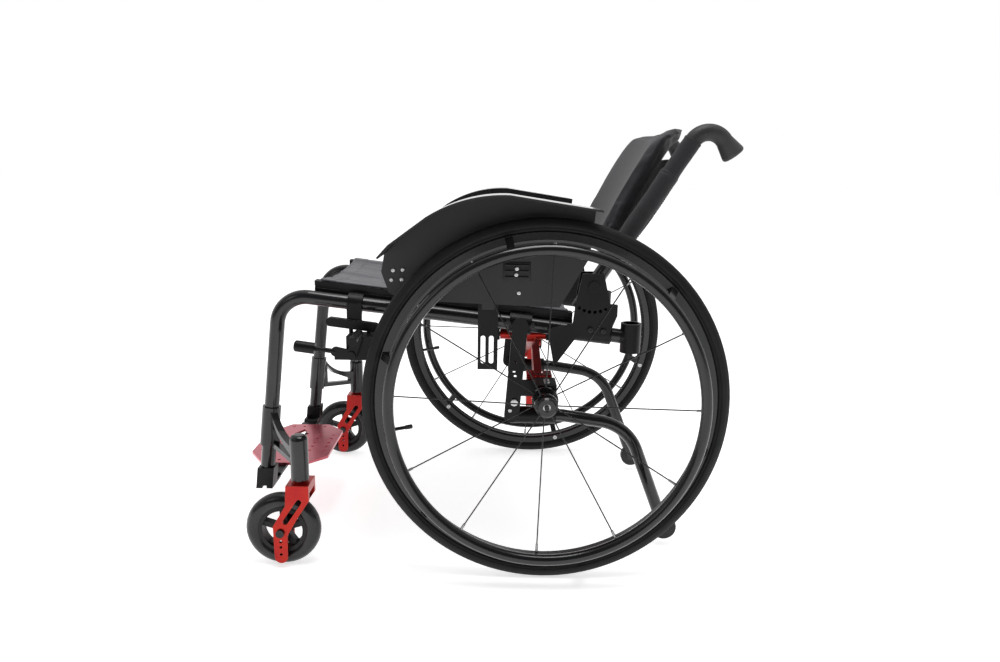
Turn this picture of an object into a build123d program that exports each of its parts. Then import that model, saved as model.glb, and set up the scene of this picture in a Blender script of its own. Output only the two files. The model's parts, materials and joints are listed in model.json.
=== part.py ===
"""Folding manual wheelchair: tube side frames on a cross-brace, slings, spoked rear wheels and casters.

Sizes are in millimetres. +Z is up, the chair faces -Y and +X is the sitter's left. The origin lies on the
floor under the middle of the chair. Side views are drawn with Y counted from the rear axle.
The left side is modelled, and each right-hand piece is its mirror image.
"""

import os
from math import atan2, cos, degrees, hypot, radians, sin, sqrt, tan

from build123d import *

os.makedirs("parts", exist_ok=True)

# ---- Driving dimensions ----------------------------------------------------------------------------
frame_x = 178.0  # side frame centre plane, from the middle of the chair
tube_radius = 12.5
tube_wall = 2.0
seat_over_axle = 105.5  # seat tube centre above the rear axle
seat_angle = 6.4  # the seat tube rises this much towards the front, degrees
seat_tube_rear = 130.0  # rear end of the seat tube
leg_front = -458.0  # leg tube centre at the seat tube height
leg_angle = 6.3  # the leg leans forward at its foot, degrees
frame_bend = 50.0

wheel_standoff = 102.0  # rear wheel centre, outward of the side frame
wheel_radius = 297.5
tyre_section = 12.5
camber = 2.5
spoke_count = 12
handrim_inset = 48.5  # its centre line, inside the tyre's outer radius
handrim_section = 9.0
handrim_standoff = 45.0
axle_radius = 6.35

caster_standoff = 81.0  # caster stem, outward of the side frame
caster_radius = 63.5
caster_section = 14.0
wheelbase = 439.0
caster_trail = 31.0
stem_radius = 6.0
stem_rise = 82.0  # top of the stem housing above the fork's crown
crown_clearance = 21.0  # top of the crown above the caster tyre

back_pivot_y = 82.0
back_pivot_rise = 82.6  # above the seat tube's centre
back_recline = 32.6
cane_length = 328.7  # back pivot to the corner of the push handle
cane_tail = 47.5  # what hangs below the pivot
handle_length = 75.2
handle_drop = 52.3  # the push handle points this far below level, degrees
handle_bend = 31.0
grip_wall = 1.5
grip_flare = 5.0  # how far the grip's end stands out from its sleeve
grip_rounding = 4.0

brace_foot_drop = 7.2  # lower pivots of the cross-brace, below the rear axle
brace_head_drop = 18.7  # upper pivots, below the seat tube's centre
brace_width = 14.0
brace_depth = 28.0
brace_gap = 1.0  # between the two arms where they cross
rail_width = 20.0
rail_height = 30.0
rail_lift = 13.0  # rail centre above the seat tube centre
rail_front = -395.0
rail_rear = 50.0

footplate_front = -556.0
footplate_rear = -404.0
footplate_height = 120.0  # its top face
footplate_thickness = 5.0
footplate_half = 110.0

antitip_drop = 54.2  # its tube's centre, below the rear axle
antitip_radius = 11.0
antitip_wheel_radius = 22.0
antitip_float = 12.0  # its wheel stands this much above the floor

running = 0.05  # radial clearance of a shaft that turns in its bore
gap = 0.5  # between neighbours that slide past each other
plate = 5.0

# ---- Values worked out from them -------------------------------------------------------------------
grip_radius = tube_radius + grip_wall
grip_end_radius = grip_radius + grip_flare
grip_end_y = (
    back_pivot_y + cane_length * sin(radians(back_recline)) + handle_length * cos(radians(handle_drop))
)
rear_end = (
    grip_end_y
    - grip_rounding * cos(radians(handle_drop))
    + (grip_end_radius - grip_rounding) * sin(radians(handle_drop))
    + grip_rounding
)
axle_y = -(footplate_front + rear_end) / 2  # puts the origin midway between foremost and rearmost points

camber_cos = cos(radians(camber))
camber_sin = sin(radians(camber))
tyre_ring = wheel_radius - tyre_section
wheel_z = tyre_ring * camber_cos + tyre_section
wheel_x = frame_x + wheel_standoff
seat_tube_height = wheel_z + seat_over_axle  # seat tube centre above the floor, at the rear axle
handrim_radius = wheel_radius - handrim_inset
caster_x = frame_x + caster_standoff
fork_crown_top = 2 * caster_radius + crown_clearance
stem_top = fork_crown_top + stem_rise
outward = Vector(camber_cos, 0, camber_sin)
hub_centre = Vector(wheel_x, axle_y, wheel_z)
inner_tube = tube_radius - tube_wall
frame_face = frame_x + tube_radius  # outer face of the side frame
saddle_radius = tube_radius + 4.5  # of every clamp round the seat tube
stem_y = -wheelbase + caster_trail
brace_x = frame_x - tube_radius - gap - rail_width / 2  # pivots, from the middle of the chair
brace_low = wheel_z - brace_foot_drop
brace_high = seat_tube_height - brace_head_drop
arm_a_y = -6.0 - brace_width - brace_gap
arm_b_y = -6.0
brace_rise = brace_high - brace_low
brace_length = sqrt((2 * brace_x) ** 2 + brace_rise**2)
brace_slope = degrees(atan2(brace_rise, 2 * brace_x))


def seat_z(y):
    """Height of the seat tube's centre."""
    return seat_tube_height - y * tan(radians(seat_angle))


def leg_y(z):
    """Place of the leg tube's centre at a height."""
    return leg_front + (z - seat_tube_height) * tan(radians(leg_angle))


back_pivot_z = seat_z(back_pivot_y) + back_pivot_rise


# ---- Planes, and how a piece is written -------------------------------------------------------------
def side(x):
    """Upright plane that faces +X. Its own axes are Y from the rear axle, and Z."""
    return Plane(origin=(x, axle_y, 0), x_dir=(0, 1, 0), z_dir=(1, 0, 0))


def level(z):
    """Level plane. Its own axes are X, and Y from the rear axle."""
    return Plane(origin=(0, axle_y, z))


def across(y):
    """Upright plane that faces the front. Its own axes are X and Z."""
    return Plane(origin=(0, axle_y + y, 0), x_dir=(1, 0, 0), z_dir=(0, -1, 0))


def wheel_face(offset):
    """Plane of the rear wheel, moved outward along its axle."""
    return Plane(origin=hub_centre + outward * offset, x_dir=(0, 1, 0), z_dir=outward)


def wheel_section():
    """Plane through the rear axle. Its own axes are the radius, and the way outward."""
    return Plane(origin=hub_centre, x_dir=(0, 1, 0), z_dir=(camber_sin, 0, -camber_cos))


def write(piece, name):
    piece.part.label = name
    export_step(piece.part, f"parts/{name}.step")


def write_pair(piece, name):
    write(piece, f"left_{name}")
    with BuildPart() as twin:
        mirror(piece.part, about=Plane.YZ)
    write(twin, f"right_{name}")


def round_bar(x, points, bends, radius, bore=0.0):
    """Bar or tube bent in a side plane: straight runs joined by tangent arcs."""
    with BuildPart() as bar:
        with BuildLine(side(x)) as route:
            FilletPolyline(*points, radius=bends)
        with BuildSketch(Plane(origin=route.line @ 0, z_dir=route.line % 0)):
            Circle(radius)
            if bore:
                Circle(bore, mode=Mode.SUBTRACT)
        sweep(path=route.line)
    return bar


def slot_between(start, end, width, mode=Mode.ADD):
    """In a sketch: a slot with round ends between two centres."""
    run_y = end[0] - start[0]
    run_z = end[1] - start[1]
    with Locations(((start[0] + end[0]) / 2, (start[1] + end[1]) / 2)):
        SlotCenterToCenter(hypot(run_y, run_z), width, rotation=degrees(atan2(run_z, run_y)), mode=mode)


def outline(*points):
    """In a sketch: a closed face with straight edges."""
    Polygon(*points, align=None)


def block(x_low, x_high, y_low, y_high, z_low, z_high, mode=Mode.ADD):
    """In a part: a box given by its faces, with Y counted from the rear axle."""
    with BuildSketch(level(z_low)) as base:
        with Locations(((x_low + x_high) / 2, (y_low + y_high) / 2)):
            Rectangle(x_high - x_low, y_high - y_low)
    extrude(base.sketch, amount=z_high - z_low, mode=mode)


def cross_rod(y, z, radius, x_low, x_high, mode=Mode.ADD):
    """In a part: a round rod along X."""
    with BuildSketch(side(x_low)) as end:
        with Locations((y, z)):
            Circle(radius)
    extrude(end.sketch, amount=x_high - x_low, mode=mode)


def long_rod(x, z, radius, y_low, y_high, mode=Mode.ADD):
    """In a part: a round rod along Y."""
    with BuildSketch(across(y_high)) as end:
        with Locations((x, z)):
            Circle(radius)
    extrude(end.sketch, amount=y_high - y_low, mode=mode)


def straight_rod(start, end, radius):
    """In a part: a round rod between two points of space."""
    with BuildSketch(Plane(origin=start, z_dir=end - start)) as foot:
        Circle(radius)
    extrude(foot.sketch, amount=(end - start).length)


def seat_tube_sleeve(radius, y_low, y_high):
    """In a part: a round block whose axis is the seat tube."""
    start = side(frame_x).from_local_coords((y_low, seat_z(y_low)))
    end = side(frame_x).from_local_coords((y_high, seat_z(y_high)))
    straight_rod(start, end, radius)


# ---- Side frame: seat tube and leg in one bent tube --------------------------------------------------
leg_foot = footplate_height - 8.0  # lower end of the leg tube
corner_y = leg_front / (1 + tan(radians(seat_angle)) * tan(radians(leg_angle)))
frame_route = [
    (seat_tube_rear, seat_z(seat_tube_rear)),
    (corner_y, seat_z(corner_y)),
    (leg_y(leg_foot), leg_foot),
]
frame_tube = round_bar(frame_x, frame_route, frame_bend, tube_radius, inner_tube)
frame_rod = round_bar(frame_x, frame_route, frame_bend, tube_radius)  # the space that clamps leave for it
write_pair(frame_tube, "frame_tube")

# ---- Cup behind the seat tube -----------------------------------------------------------------------
cup_y = 150.0
cup_radius = 17.5
cup_bore = 13.5
cup_bottom = seat_z(cup_y) - 25.9
cup_top = cup_bottom + 51.0
cup_floor = 4.0
plug_length = 20.0

with BuildPart() as rear_socket:
    seat_tube_sleeve(tube_radius, seat_tube_rear, cup_y)
    seat_tube_sleeve(inner_tube, seat_tube_rear - plug_length, cup_y)
    with BuildSketch(level(cup_bottom)):
        with Locations((frame_x, cup_y)):
            Circle(cup_radius)
    extrude(amount=cup_top - cup_bottom)
    with BuildSketch(level(cup_bottom + cup_floor)):
        with Locations((frame_x, cup_y)):
            Circle(cup_bore)
    extrude(amount=cup_top - cup_bottom - cup_floor, mode=Mode.SUBTRACT)
write_pair(rear_socket, "rear_socket")

# ---- Leg ends: the left one has a ledge for the footplate, the right one its hinge -------------------
leg_end_low = leg_foot - 8.0
leg_end_high = leg_end_low + 38.0
leg_end_half = tube_radius + 2.0
notch_half = 4.0
notch_height = 5.0
hinge_x = frame_x - 28.0
hinge_z = footplate_height - footplate_thickness - 3.0
hinge_pin = 3.0
hinge_half = 8.0
ear_radius = 7.0
ear_width = 6.0
hinge_y = leg_y(hinge_z)
carrier_thickness = 6.0
carrier_low = footplate_height - footplate_thickness - carrier_thickness
carrier_half = 16.0
carrier_end = hinge_x - 4.0
rest_gap = 0.3
ledge_reach = 24.0


def leg_end_block():
    """In a part: the plastic block on the foot of the leg tube."""
    foot_y = leg_y(leg_end_low)
    head_y = leg_y(leg_end_high)
    with BuildSketch(side(frame_x - leg_end_half)) as shape:
        outline(
            (foot_y - leg_end_half, leg_end_low),
            (foot_y - notch_half, leg_end_low),
            (foot_y - notch_half, leg_end_low + notch_height),
            (foot_y + notch_half, leg_end_low + notch_height),
            (foot_y + notch_half, leg_end_low),
            (foot_y + leg_end_half, leg_end_low),
            (head_y + leg_end_half, leg_end_high),
            (head_y - leg_end_half, leg_end_high),
        )
    extrude(shape.sketch, amount=2 * leg_end_half)
    add(frame_rod.part, mode=Mode.SUBTRACT)


with BuildPart() as ledge_end:
    leg_end_block()
    ledge_root = frame_x - leg_end_half
    block(
        ledge_root - ledge_reach,
        ledge_root,
        hinge_y - leg_end_half + 1,
        hinge_y + leg_end_half - 1,
        leg_end_low,
        carrier_low - rest_gap,
    )
write(ledge_end, "left_leg_end")

with BuildPart() as hinge_end:
    leg_end_block()
    for ear_y in (hinge_y - hinge_half - gap - ear_width, hinge_y + hinge_half + gap):
        block(hinge_x, frame_x - leg_end_half, ear_y, ear_y + ear_width, hinge_z - ear_radius,
              hinge_z + ear_radius)
        long_rod(hinge_x, hinge_z, ear_radius, ear_y, ear_y + ear_width)
    long_rod(hinge_x, hinge_z, hinge_pin, hinge_y - hinge_half - ear_width, hinge_y + hinge_half + ear_width)
with BuildPart() as right_hinge_end:
    mirror(hinge_end.part, about=Plane.YZ)
write(right_hinge_end, "right_leg_end")

# ---- Footplate on its carrier, which hinges on the right leg ----------------------------------------
plate_corner = 8.0
front_half = 55.0
rear_half = 72.0
side_front = footplate_front + 36.0
side_rear = footplate_rear - 36.0
plate_hole = 3.0
window_half = 28.0
window_reach = 15.0

with BuildPart() as footplate:
    with BuildSketch(level(footplate_height - footplate_thickness)) as plate_shape:
        outline(
            (-front_half, footplate_front),
            (front_half, footplate_front),
            (footplate_half, side_front),
            (footplate_half, side_rear),
            (rear_half, footplate_rear),
            (-rear_half, footplate_rear),
            (-footplate_half, side_rear),
            (-footplate_half, side_front),
        )
        fillet(plate_shape.vertices(), plate_corner)
        middle_y = (footplate_front + footplate_rear) / 2
        for rhombus_x in (-50, 50):
            with Locations((rhombus_x, middle_y - 6)):
                Polygon(
                    (-window_half, 0),
                    (0, -window_reach),
                    (window_half, 0),
                    (0, window_reach),
                    mode=Mode.SUBTRACT,
                )
        for row_y in (footplate_front + 16, middle_y - 36, middle_y + 34, footplate_rear - 14):
            with Locations((0, row_y)):
                with GridLocations(22, 0, 5, 1):
                    Circle(plate_hole, mode=Mode.SUBTRACT)
        for column_x in (-footplate_half + 14, footplate_half - 14):
            with Locations((column_x, middle_y)):
                with GridLocations(0, 22, 1, 4):
                    Circle(plate_hole, mode=Mode.SUBTRACT)
    extrude(amount=footplate_thickness)
write(footplate, "footplate")

with BuildPart() as footplate_carrier:
    block(-hinge_x + 12, carrier_end, hinge_y - carrier_half, hinge_y + carrier_half, carrier_low,
          carrier_low + carrier_thickness)
    for window_x in (-62, 62):
        block(window_x - 40, window_x + 40, hinge_y - 7, hinge_y + 7, carrier_low,
              carrier_low + carrier_thickness, mode=Mode.SUBTRACT)
    block(-hinge_x, -hinge_x + 12, hinge_y - hinge_half, hinge_y + hinge_half, carrier_low,
          carrier_low + carrier_thickness)
    long_rod(-hinge_x, hinge_z, ear_radius - 1, hinge_y - hinge_half, hinge_y + hinge_half)
    long_rod(-hinge_x, hinge_z, hinge_pin + running, hinge_y - hinge_half, hinge_y + hinge_half,
             mode=Mode.SUBTRACT)
write(footplate_carrier, "footplate_carrier")

# ---- Caster bracket: clamp on the leg, truss and stem housing in one casting ------------------------
housing_bottom = fork_crown_top + 4.0
truss_low_leg = housing_bottom + 31.0
truss_high_leg = housing_bottom + 101.0
truss_low_stem = housing_bottom + 22.0
truss_high_stem = housing_bottom + 51.0
truss_half = 6.0
truss_wall = 9.0
collar_radius = tube_radius + 3.5
housing_radius = 15.0
housing_dome = 9.0
stem_length = 60.0
truss_middle = (truss_low_leg + truss_high_leg) / 2


def truss_plane():
    """Upright plane through the leg tube and the caster stem, drawn from the leg outwards."""
    leg = Vector(frame_x, axle_y + leg_y(truss_middle), 0)
    stem = Vector(caster_x, axle_y + stem_y, 0)
    run = (stem - leg).normalized()
    return Plane(origin=leg, x_dir=run, z_dir=run.cross(Vector(0, 0, 1)))


truss_run = hypot(caster_x - frame_x, stem_y - leg_y(truss_middle))
stem_seat = housing_radius - 2.0

with BuildPart() as caster_bracket:
    with BuildSketch(truss_plane()):
        with BuildLine():
            Spline(
                (tube_radius, truss_high_leg),
                (truss_run - stem_seat, truss_high_stem),
                tangents=((0.5, -1), (1, -0.1)),
            )
            Polyline(
                (truss_run - stem_seat, truss_high_stem),
                (truss_run - stem_seat, truss_low_stem),
                (tube_radius, truss_low_leg),
                (tube_radius, truss_high_leg),
            )
        make_face()
    extrude(amount=truss_half, both=True)
    with BuildSketch(truss_plane()):
        outline(
            (tube_radius + truss_wall, truss_low_leg + truss_wall - 1),
            (truss_run - stem_seat - truss_wall, truss_low_stem + truss_wall),
            (truss_run - stem_seat - truss_wall, truss_low_stem + truss_wall + 5),
            (tube_radius + 3 * truss_wall, truss_low_leg + 3 * truss_wall),
            (tube_radius + truss_wall, truss_high_leg - 2.6 * truss_wall),
        )
    extrude(amount=truss_half, both=True, mode=Mode.SUBTRACT)
    collar_low = side(frame_x).from_local_coords((leg_y(truss_low_leg), truss_low_leg))
    collar_high = side(frame_x).from_local_coords((leg_y(truss_high_leg), truss_high_leg))
    with BuildSketch(Plane(origin=collar_low, z_dir=collar_high - collar_low)):
        Circle(collar_radius)
    extrude(amount=(collar_high - collar_low).length)
    add(frame_rod.part, mode=Mode.SUBTRACT)
    with BuildSketch(level(housing_bottom)):
        with Locations((caster_x, stem_y)):
            Circle(housing_radius)
    extrude(amount=stem_top - housing_bottom)
    housing_crown = caster_bracket.faces().sort_by_distance((caster_x, axle_y + stem_y, stem_top))[0]
    fillet(housing_crown.edges(), housing_dome)
    with BuildSketch(level(housing_bottom)):
        with Locations((caster_x, stem_y)):
            Circle(stem_radius + running)
    extrude(amount=stem_length, mode=Mode.SUBTRACT)
write_pair(caster_bracket, "caster_bracket")

# ---- Caster fork ------------------------------------------------------------------------------------
fork_side_gap = 3.5
blade_thickness = 6.0
crown_depth = 38.0
crown_height = 14.0
caster_pin = 4.0
fork_inner = caster_section + fork_side_gap
fork_outer = fork_inner + blade_thickness
blade_foot = caster_radius - 43.5
blade_foot_radius = 11.0
fork_slot = 9.0
fork_hole = 2.5

with BuildPart() as fork:
    for blade_x in (caster_x + fork_inner, caster_x - fork_outer):
        with BuildSketch(side(blade_x)):
            with BuildLine():
                Polyline(
                    (-wheelbase - blade_foot_radius, blade_foot),
                    (-wheelbase - blade_foot_radius - 1, caster_radius + 12),
                    (stem_y - crown_depth / 2 - 2, caster_radius + 49),
                    (stem_y - crown_depth / 2, fork_crown_top),
                    (stem_y + crown_depth / 2, fork_crown_top),
                    (stem_y + crown_depth / 2, caster_radius + 58),
                    (stem_y + 1, caster_radius + 31),
                    (-wheelbase + blade_foot_radius + 1, caster_radius - 4),
                    (-wheelbase + blade_foot_radius, blade_foot),
                )
                ThreePointArc(
                    (-wheelbase - blade_foot_radius, blade_foot),
                    (-wheelbase, blade_foot - blade_foot_radius),
                    (-wheelbase + blade_foot_radius, blade_foot),
                )
            make_face()
            slot_top = (stem_y + 2, caster_radius + 56)
            slot_foot = (-wheelbase + 9, caster_radius + 20)
            slot_between(slot_top, slot_foot, fork_slot, Mode.SUBTRACT)
            for hole_z in (caster_radius - 15.5, caster_radius - 25.5, caster_radius - 38.5):
                with Locations((-wheelbase, hole_z)):
                    Circle(fork_hole, mode=Mode.SUBTRACT)
            with Locations((-wheelbase, caster_radius)):
                Circle(caster_pin, mode=Mode.SUBTRACT)
        extrude(amount=blade_thickness)
    block(caster_x - fork_outer, caster_x + fork_outer, stem_y - crown_depth / 2, stem_y + crown_depth / 2,
          fork_crown_top - crown_height, fork_crown_top)
    with BuildSketch(level(fork_crown_top)):
        with Locations((caster_x, stem_y)):
            Circle(housing_radius - 3)
    extrude(amount=housing_bottom - rest_gap - fork_crown_top)
    with BuildSketch(level(fork_crown_top)):
        with Locations((caster_x, stem_y)):
            Circle(stem_radius)
    extrude(amount=stem_length)
write_pair(fork, "fork")

# ---- Caster wheel and its axle ----------------------------------------------------------------------
caster_ring = caster_radius - caster_section
bolt_head = 7.0
bolt_head_height = 4.0
caster_hub = 11.0
caster_rim_outer = caster_ring - 8.5
caster_rim_inner = caster_rim_outer - 7.0
caster_spoke = 9.0
caster_rim_half = 11.0

with BuildPart() as caster_axle:
    cross_rod(-wheelbase, caster_radius, caster_pin, caster_x - fork_outer, caster_x + fork_outer)
    cross_rod(-wheelbase, caster_radius, bolt_head, caster_x + fork_outer,
              caster_x + fork_outer + bolt_head_height)
    cross_rod(-wheelbase, caster_radius, bolt_head, caster_x - fork_outer - bolt_head_height,
              caster_x - fork_outer)
write_pair(caster_axle, "caster_axle")


def caster_section_plane():
    """Plane through the caster axle. Its own axes are the radius, and the way outward."""
    return Plane(origin=(caster_x, axle_y - wheelbase, caster_radius), x_dir=(0, 1, 0), z_dir=(0, 0, -1))


caster_spin = Axis((caster_x, axle_y - wheelbase, caster_radius), (1, 0, 0))

with BuildPart() as caster_tyre:
    with BuildSketch(caster_section_plane()):
        with Locations((caster_ring, 0)):
            Circle(caster_section)
    revolve(axis=caster_spin)
write_pair(caster_tyre, "caster_tyre")

with BuildPart() as caster_core:
    with BuildSketch(side(caster_x)):
        with Locations((-wheelbase, caster_radius)):
            Circle(caster_rim_inner + 1)
            Circle(caster_rim_inner, mode=Mode.SUBTRACT)
            with PolarLocations(0, 5, start_angle=90):
                with Locations((caster_rim_inner / 2, 0)):
                    Rectangle(caster_rim_inner + 1, caster_spoke)
    extrude(amount=caster_rim_half - 4, both=True)
    cross_rod(-wheelbase, caster_radius, caster_hub, caster_x - fork_inner + gap, caster_x + fork_inner - gap)
    with BuildSketch(caster_section_plane()):
        with Locations(((caster_rim_inner + caster_rim_outer) / 2, 0)):
            Rectangle(caster_rim_outer - caster_rim_inner, 2 * caster_rim_half)
        with Locations((caster_ring, 0)):
            Circle(caster_section, mode=Mode.SUBTRACT)
    revolve(axis=caster_spin)
    cross_rod(-wheelbase, caster_radius, caster_pin + running, caster_x - fork_inner, caster_x + fork_inner,
              mode=Mode.SUBTRACT)
write_pair(caster_core, "caster_core")

# ---- Rear wheel -------------------------------------------------------------------------------------
rim_inner = wheel_radius - 38.5
rim_lip = tyre_ring - 10.0
rim_half = 11.0
rim_well_half = 8.0
hub_inner_end = -30.0
hub_outer_end = 34.0
hub_barrel = 14.0
inner_flange = 22.0
inner_flange_at = -17.0
outer_flange = 19.0
outer_flange_at = 15.0
flange_half = 2.0
hub_cap = 16.5
spoke_radius = 1.1
spoke_start = -2.0
spoke_clearance = 0.3
nipple_radius = 2.2
nipple_length = 14.0
valve_angle = 191.0
valve_radius = 3.0
valve_length = 38.0
tab_count = 6
tab_start = -16.3
tab_half = 6.0
wheel_spin = Axis(hub_centre, outward)


def spoke_way(angle):
    """Direction in the wheel's plane, from the rear (+Y) upwards, degrees."""
    return Vector(
        -camber_sin * sin(radians(angle)),
        cos(radians(angle)),
        camber_cos * sin(radians(angle)),
    )


with BuildPart() as tyre:
    with BuildSketch(wheel_section()):
        with Locations((tyre_ring, 0)):
            Circle(tyre_section)
    revolve(axis=wheel_spin)
write_pair(tyre, "tyre")

with BuildPart() as rim:
    with BuildSketch(wheel_section()):
        outline(
            (rim_inner, -rim_well_half),
            (rim_inner, rim_well_half),
            (rim_inner + 4, rim_half),
            (rim_lip, rim_half),
            (rim_lip, -rim_half),
            (rim_inner + 4, -rim_half),
        )
        with Locations((tyre_ring, 0)):
            Circle(tyre_section, mode=Mode.SUBTRACT)
    revolve(axis=wheel_spin)
    valve_way = spoke_way(valve_angle)
    valve_tip = hub_centre + valve_way * (rim_inner - valve_length)
    valve_root = hub_centre + valve_way * (rim_inner + 1)
    straight_rod(valve_tip, valve_root, valve_radius)
write_pair(rim, "rim")

with BuildPart() as spokes:
    for number in range(spoke_count):
        way = spoke_way(spoke_start + number * 360 / spoke_count)
        flange_at = (outer_flange_at, inner_flange_at)[number % 2]
        flange_radius = (outer_flange, inner_flange)[number % 2]
        root = hub_centre + outward * flange_at + way * (flange_radius + spoke_clearance)
        tip = hub_centre + outward * (flange_at / 5) + way * (rim_inner - spoke_clearance)
        straight_rod(root, tip, spoke_radius)
        straight_rod(tip + (root - tip).normalized() * nipple_length, tip, nipple_radius)
write_pair(spokes, "spokes")

with BuildPart() as hub:
    with BuildSketch(wheel_section()):
        outline(
            (axle_radius + running, hub_inner_end),
            (hub_barrel, hub_inner_end),
            (hub_barrel, inner_flange_at - flange_half),
            (inner_flange, inner_flange_at - flange_half),
            (inner_flange, inner_flange_at + flange_half),
            (hub_barrel, inner_flange_at + flange_half),
            (hub_barrel, outer_flange_at - flange_half),
            (outer_flange, outer_flange_at - flange_half),
            (outer_flange, outer_flange_at + flange_half),
            (hub_cap, outer_flange_at + flange_half),
            (hub_cap, hub_outer_end - 3),
            (hub_cap - 3, hub_outer_end),
            (axle_radius + running, hub_outer_end),
        )
    revolve(axis=wheel_spin)
write_pair(hub, "hub")

with BuildPart() as handrim:
    with BuildSketch(wheel_section()):
        with Locations((handrim_radius, handrim_standoff)):
            Circle(handrim_section)
    revolve(axis=wheel_spin)
    for number in range(tab_count):
        way = spoke_way(tab_start + number * 360 / tab_count)
        with BuildSketch(Plane(origin=hub_centre, x_dir=way, z_dir=way.cross(outward))):
            outline(
                (rim_lip - 1, rim_half),
                (rim_lip - 9, rim_half),
                (handrim_radius - 3, handrim_standoff - 4),
                (handrim_radius + 4, handrim_standoff),
            )
        extrude(amount=tab_half, both=True)
write_pair(handrim, "handrim")

# ---- Quick-release axle and its button --------------------------------------------------------------
axle_inner_end = -80.0
axle_outer_end = 30.0
button_radius = 4.0
button_travel = 3.0
button_seat = 22.0
button_end = 36.0

with BuildPart() as axle_pin:
    with BuildSketch(wheel_face(axle_inner_end)):
        Circle(axle_radius)
    extrude(amount=axle_outer_end - axle_inner_end)
    with BuildSketch(wheel_face(button_seat)):
        Circle(button_radius + running)
    extrude(amount=axle_outer_end - button_seat, mode=Mode.SUBTRACT)
write_pair(axle_pin, "axle_pin")

with BuildPart() as axle_button:
    with BuildSketch(wheel_face(button_seat + button_travel + rest_gap)):
        Circle(button_radius)
    extrude(amount=button_end - button_seat - button_travel - rest_gap)
write_pair(axle_button, "axle_button")

# ---- Axle plate: clamp on the seat tube, bar, axle housing and anti-tip receiver --------------------
bar_top_y = -41.0
bar_bottom_y = -53.0
bar_bottom = wheel_z - 49.2
bar_width = 26.0
bar_thickness = 6.5
bar_hole = 2.6
axle_bar_front = -60.0
housing_front = -15.0
housing_rear = 20.0
housing_half = 20.0
housing_end = wheel_x + hub_inner_end - 3.0
receiver_radius = antitip_radius + 4.0
receiver_bite = 0.5  # how far the receiver sinks into the bar
antitip_x = frame_face + receiver_bite - receiver_radius
antitip_height = wheel_z - antitip_drop
receiver_front = -55.0
receiver_rear = 25.0

with BuildPart() as axle_plate:
    seat_tube_sleeve(saddle_radius, bar_top_y - bar_width / 2 - 6, bar_top_y + bar_width / 2 + 6)
    block(0, frame_x, receiver_front - 40, receiver_rear + 40, 0, 2 * seat_tube_height, mode=Mode.SUBTRACT)
    with BuildSketch(side(frame_face)):
        slot_between((bar_top_y, seat_z(bar_top_y)), (bar_bottom_y, bar_bottom), bar_width)
        with Locations((-48, wheel_z + 45.8), (-50, wheel_z + 28.8), (-48, wheel_z + 20.8)):
            Circle(bar_hole, mode=Mode.SUBTRACT)
    extrude(amount=bar_thickness)
    block(frame_face, frame_face + bar_thickness, axle_bar_front, housing_rear, wheel_z - 14, wheel_z + 14)
    block(frame_face + bar_thickness, housing_end, housing_front, housing_rear, wheel_z - housing_half,
          wheel_z + housing_half)
    long_rod(antitip_x, antitip_height, receiver_radius, receiver_front, receiver_rear)
    long_rod(antitip_x, antitip_height, antitip_radius + running, receiver_front, receiver_rear,
             mode=Mode.SUBTRACT)
    with BuildSketch(wheel_face(axle_inner_end - 20)):
        Circle(axle_radius)
    extrude(amount=axle_outer_end - axle_inner_end, mode=Mode.SUBTRACT)
    add(frame_rod.part, mode=Mode.SUBTRACT)
write_pair(axle_plate, "axle_plate")

# ---- Cross-brace: blocks on the axle plates, two arms and their bolt --------------------------------
brace_pin = 4.0
brace_block_low = brace_low - 28.0
brace_block_high = brace_low + 28.0
brace_block_half = 22.0
brace_block_face = brace_x - 8.0
slot_back = brace_x + brace_depth / 2 + 2.5
slot_side = 0.3
barrel_radius = rail_width / 2 - 1.0
arm_setback = brace_depth / 2 - barrel_radius + 0.5  # keeps the arm's round end clear of the seat tube
barrel_front = -75.0
barrel_rear = 5.0
gusset_reach = 75.0
gusset_half = 4.0
brace_bolt_radius = 5.0
bolt_washer = 9.0
bolt_washer_height = 4.0
brace_middle = (brace_low + brace_high) / 2


def brace_block(arm_y):
    """Forked block that holds the foot of one arm, on the left side."""
    with BuildPart() as fork_block:
        block(brace_block_face, frame_face, arm_y - brace_block_half, arm_y + brace_block_half,
              brace_block_low, brace_block_high)
        fillet(fork_block.edges().filter_by(Axis.Y), 6)
        block(brace_block_face, slot_back, arm_y - brace_width / 2 - slot_side,
              arm_y + brace_width / 2 + slot_side, brace_block_low, brace_block_high, mode=Mode.SUBTRACT)
        long_rod(brace_x, brace_low, brace_pin, arm_y - brace_block_half, arm_y + brace_block_half)
    return fork_block


write(brace_block(arm_b_y), "left_brace_block")
with BuildPart() as right_brace_block:
    mirror(brace_block(arm_a_y).part, about=Plane.YZ)
write(right_brace_block, "right_brace_block")


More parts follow.
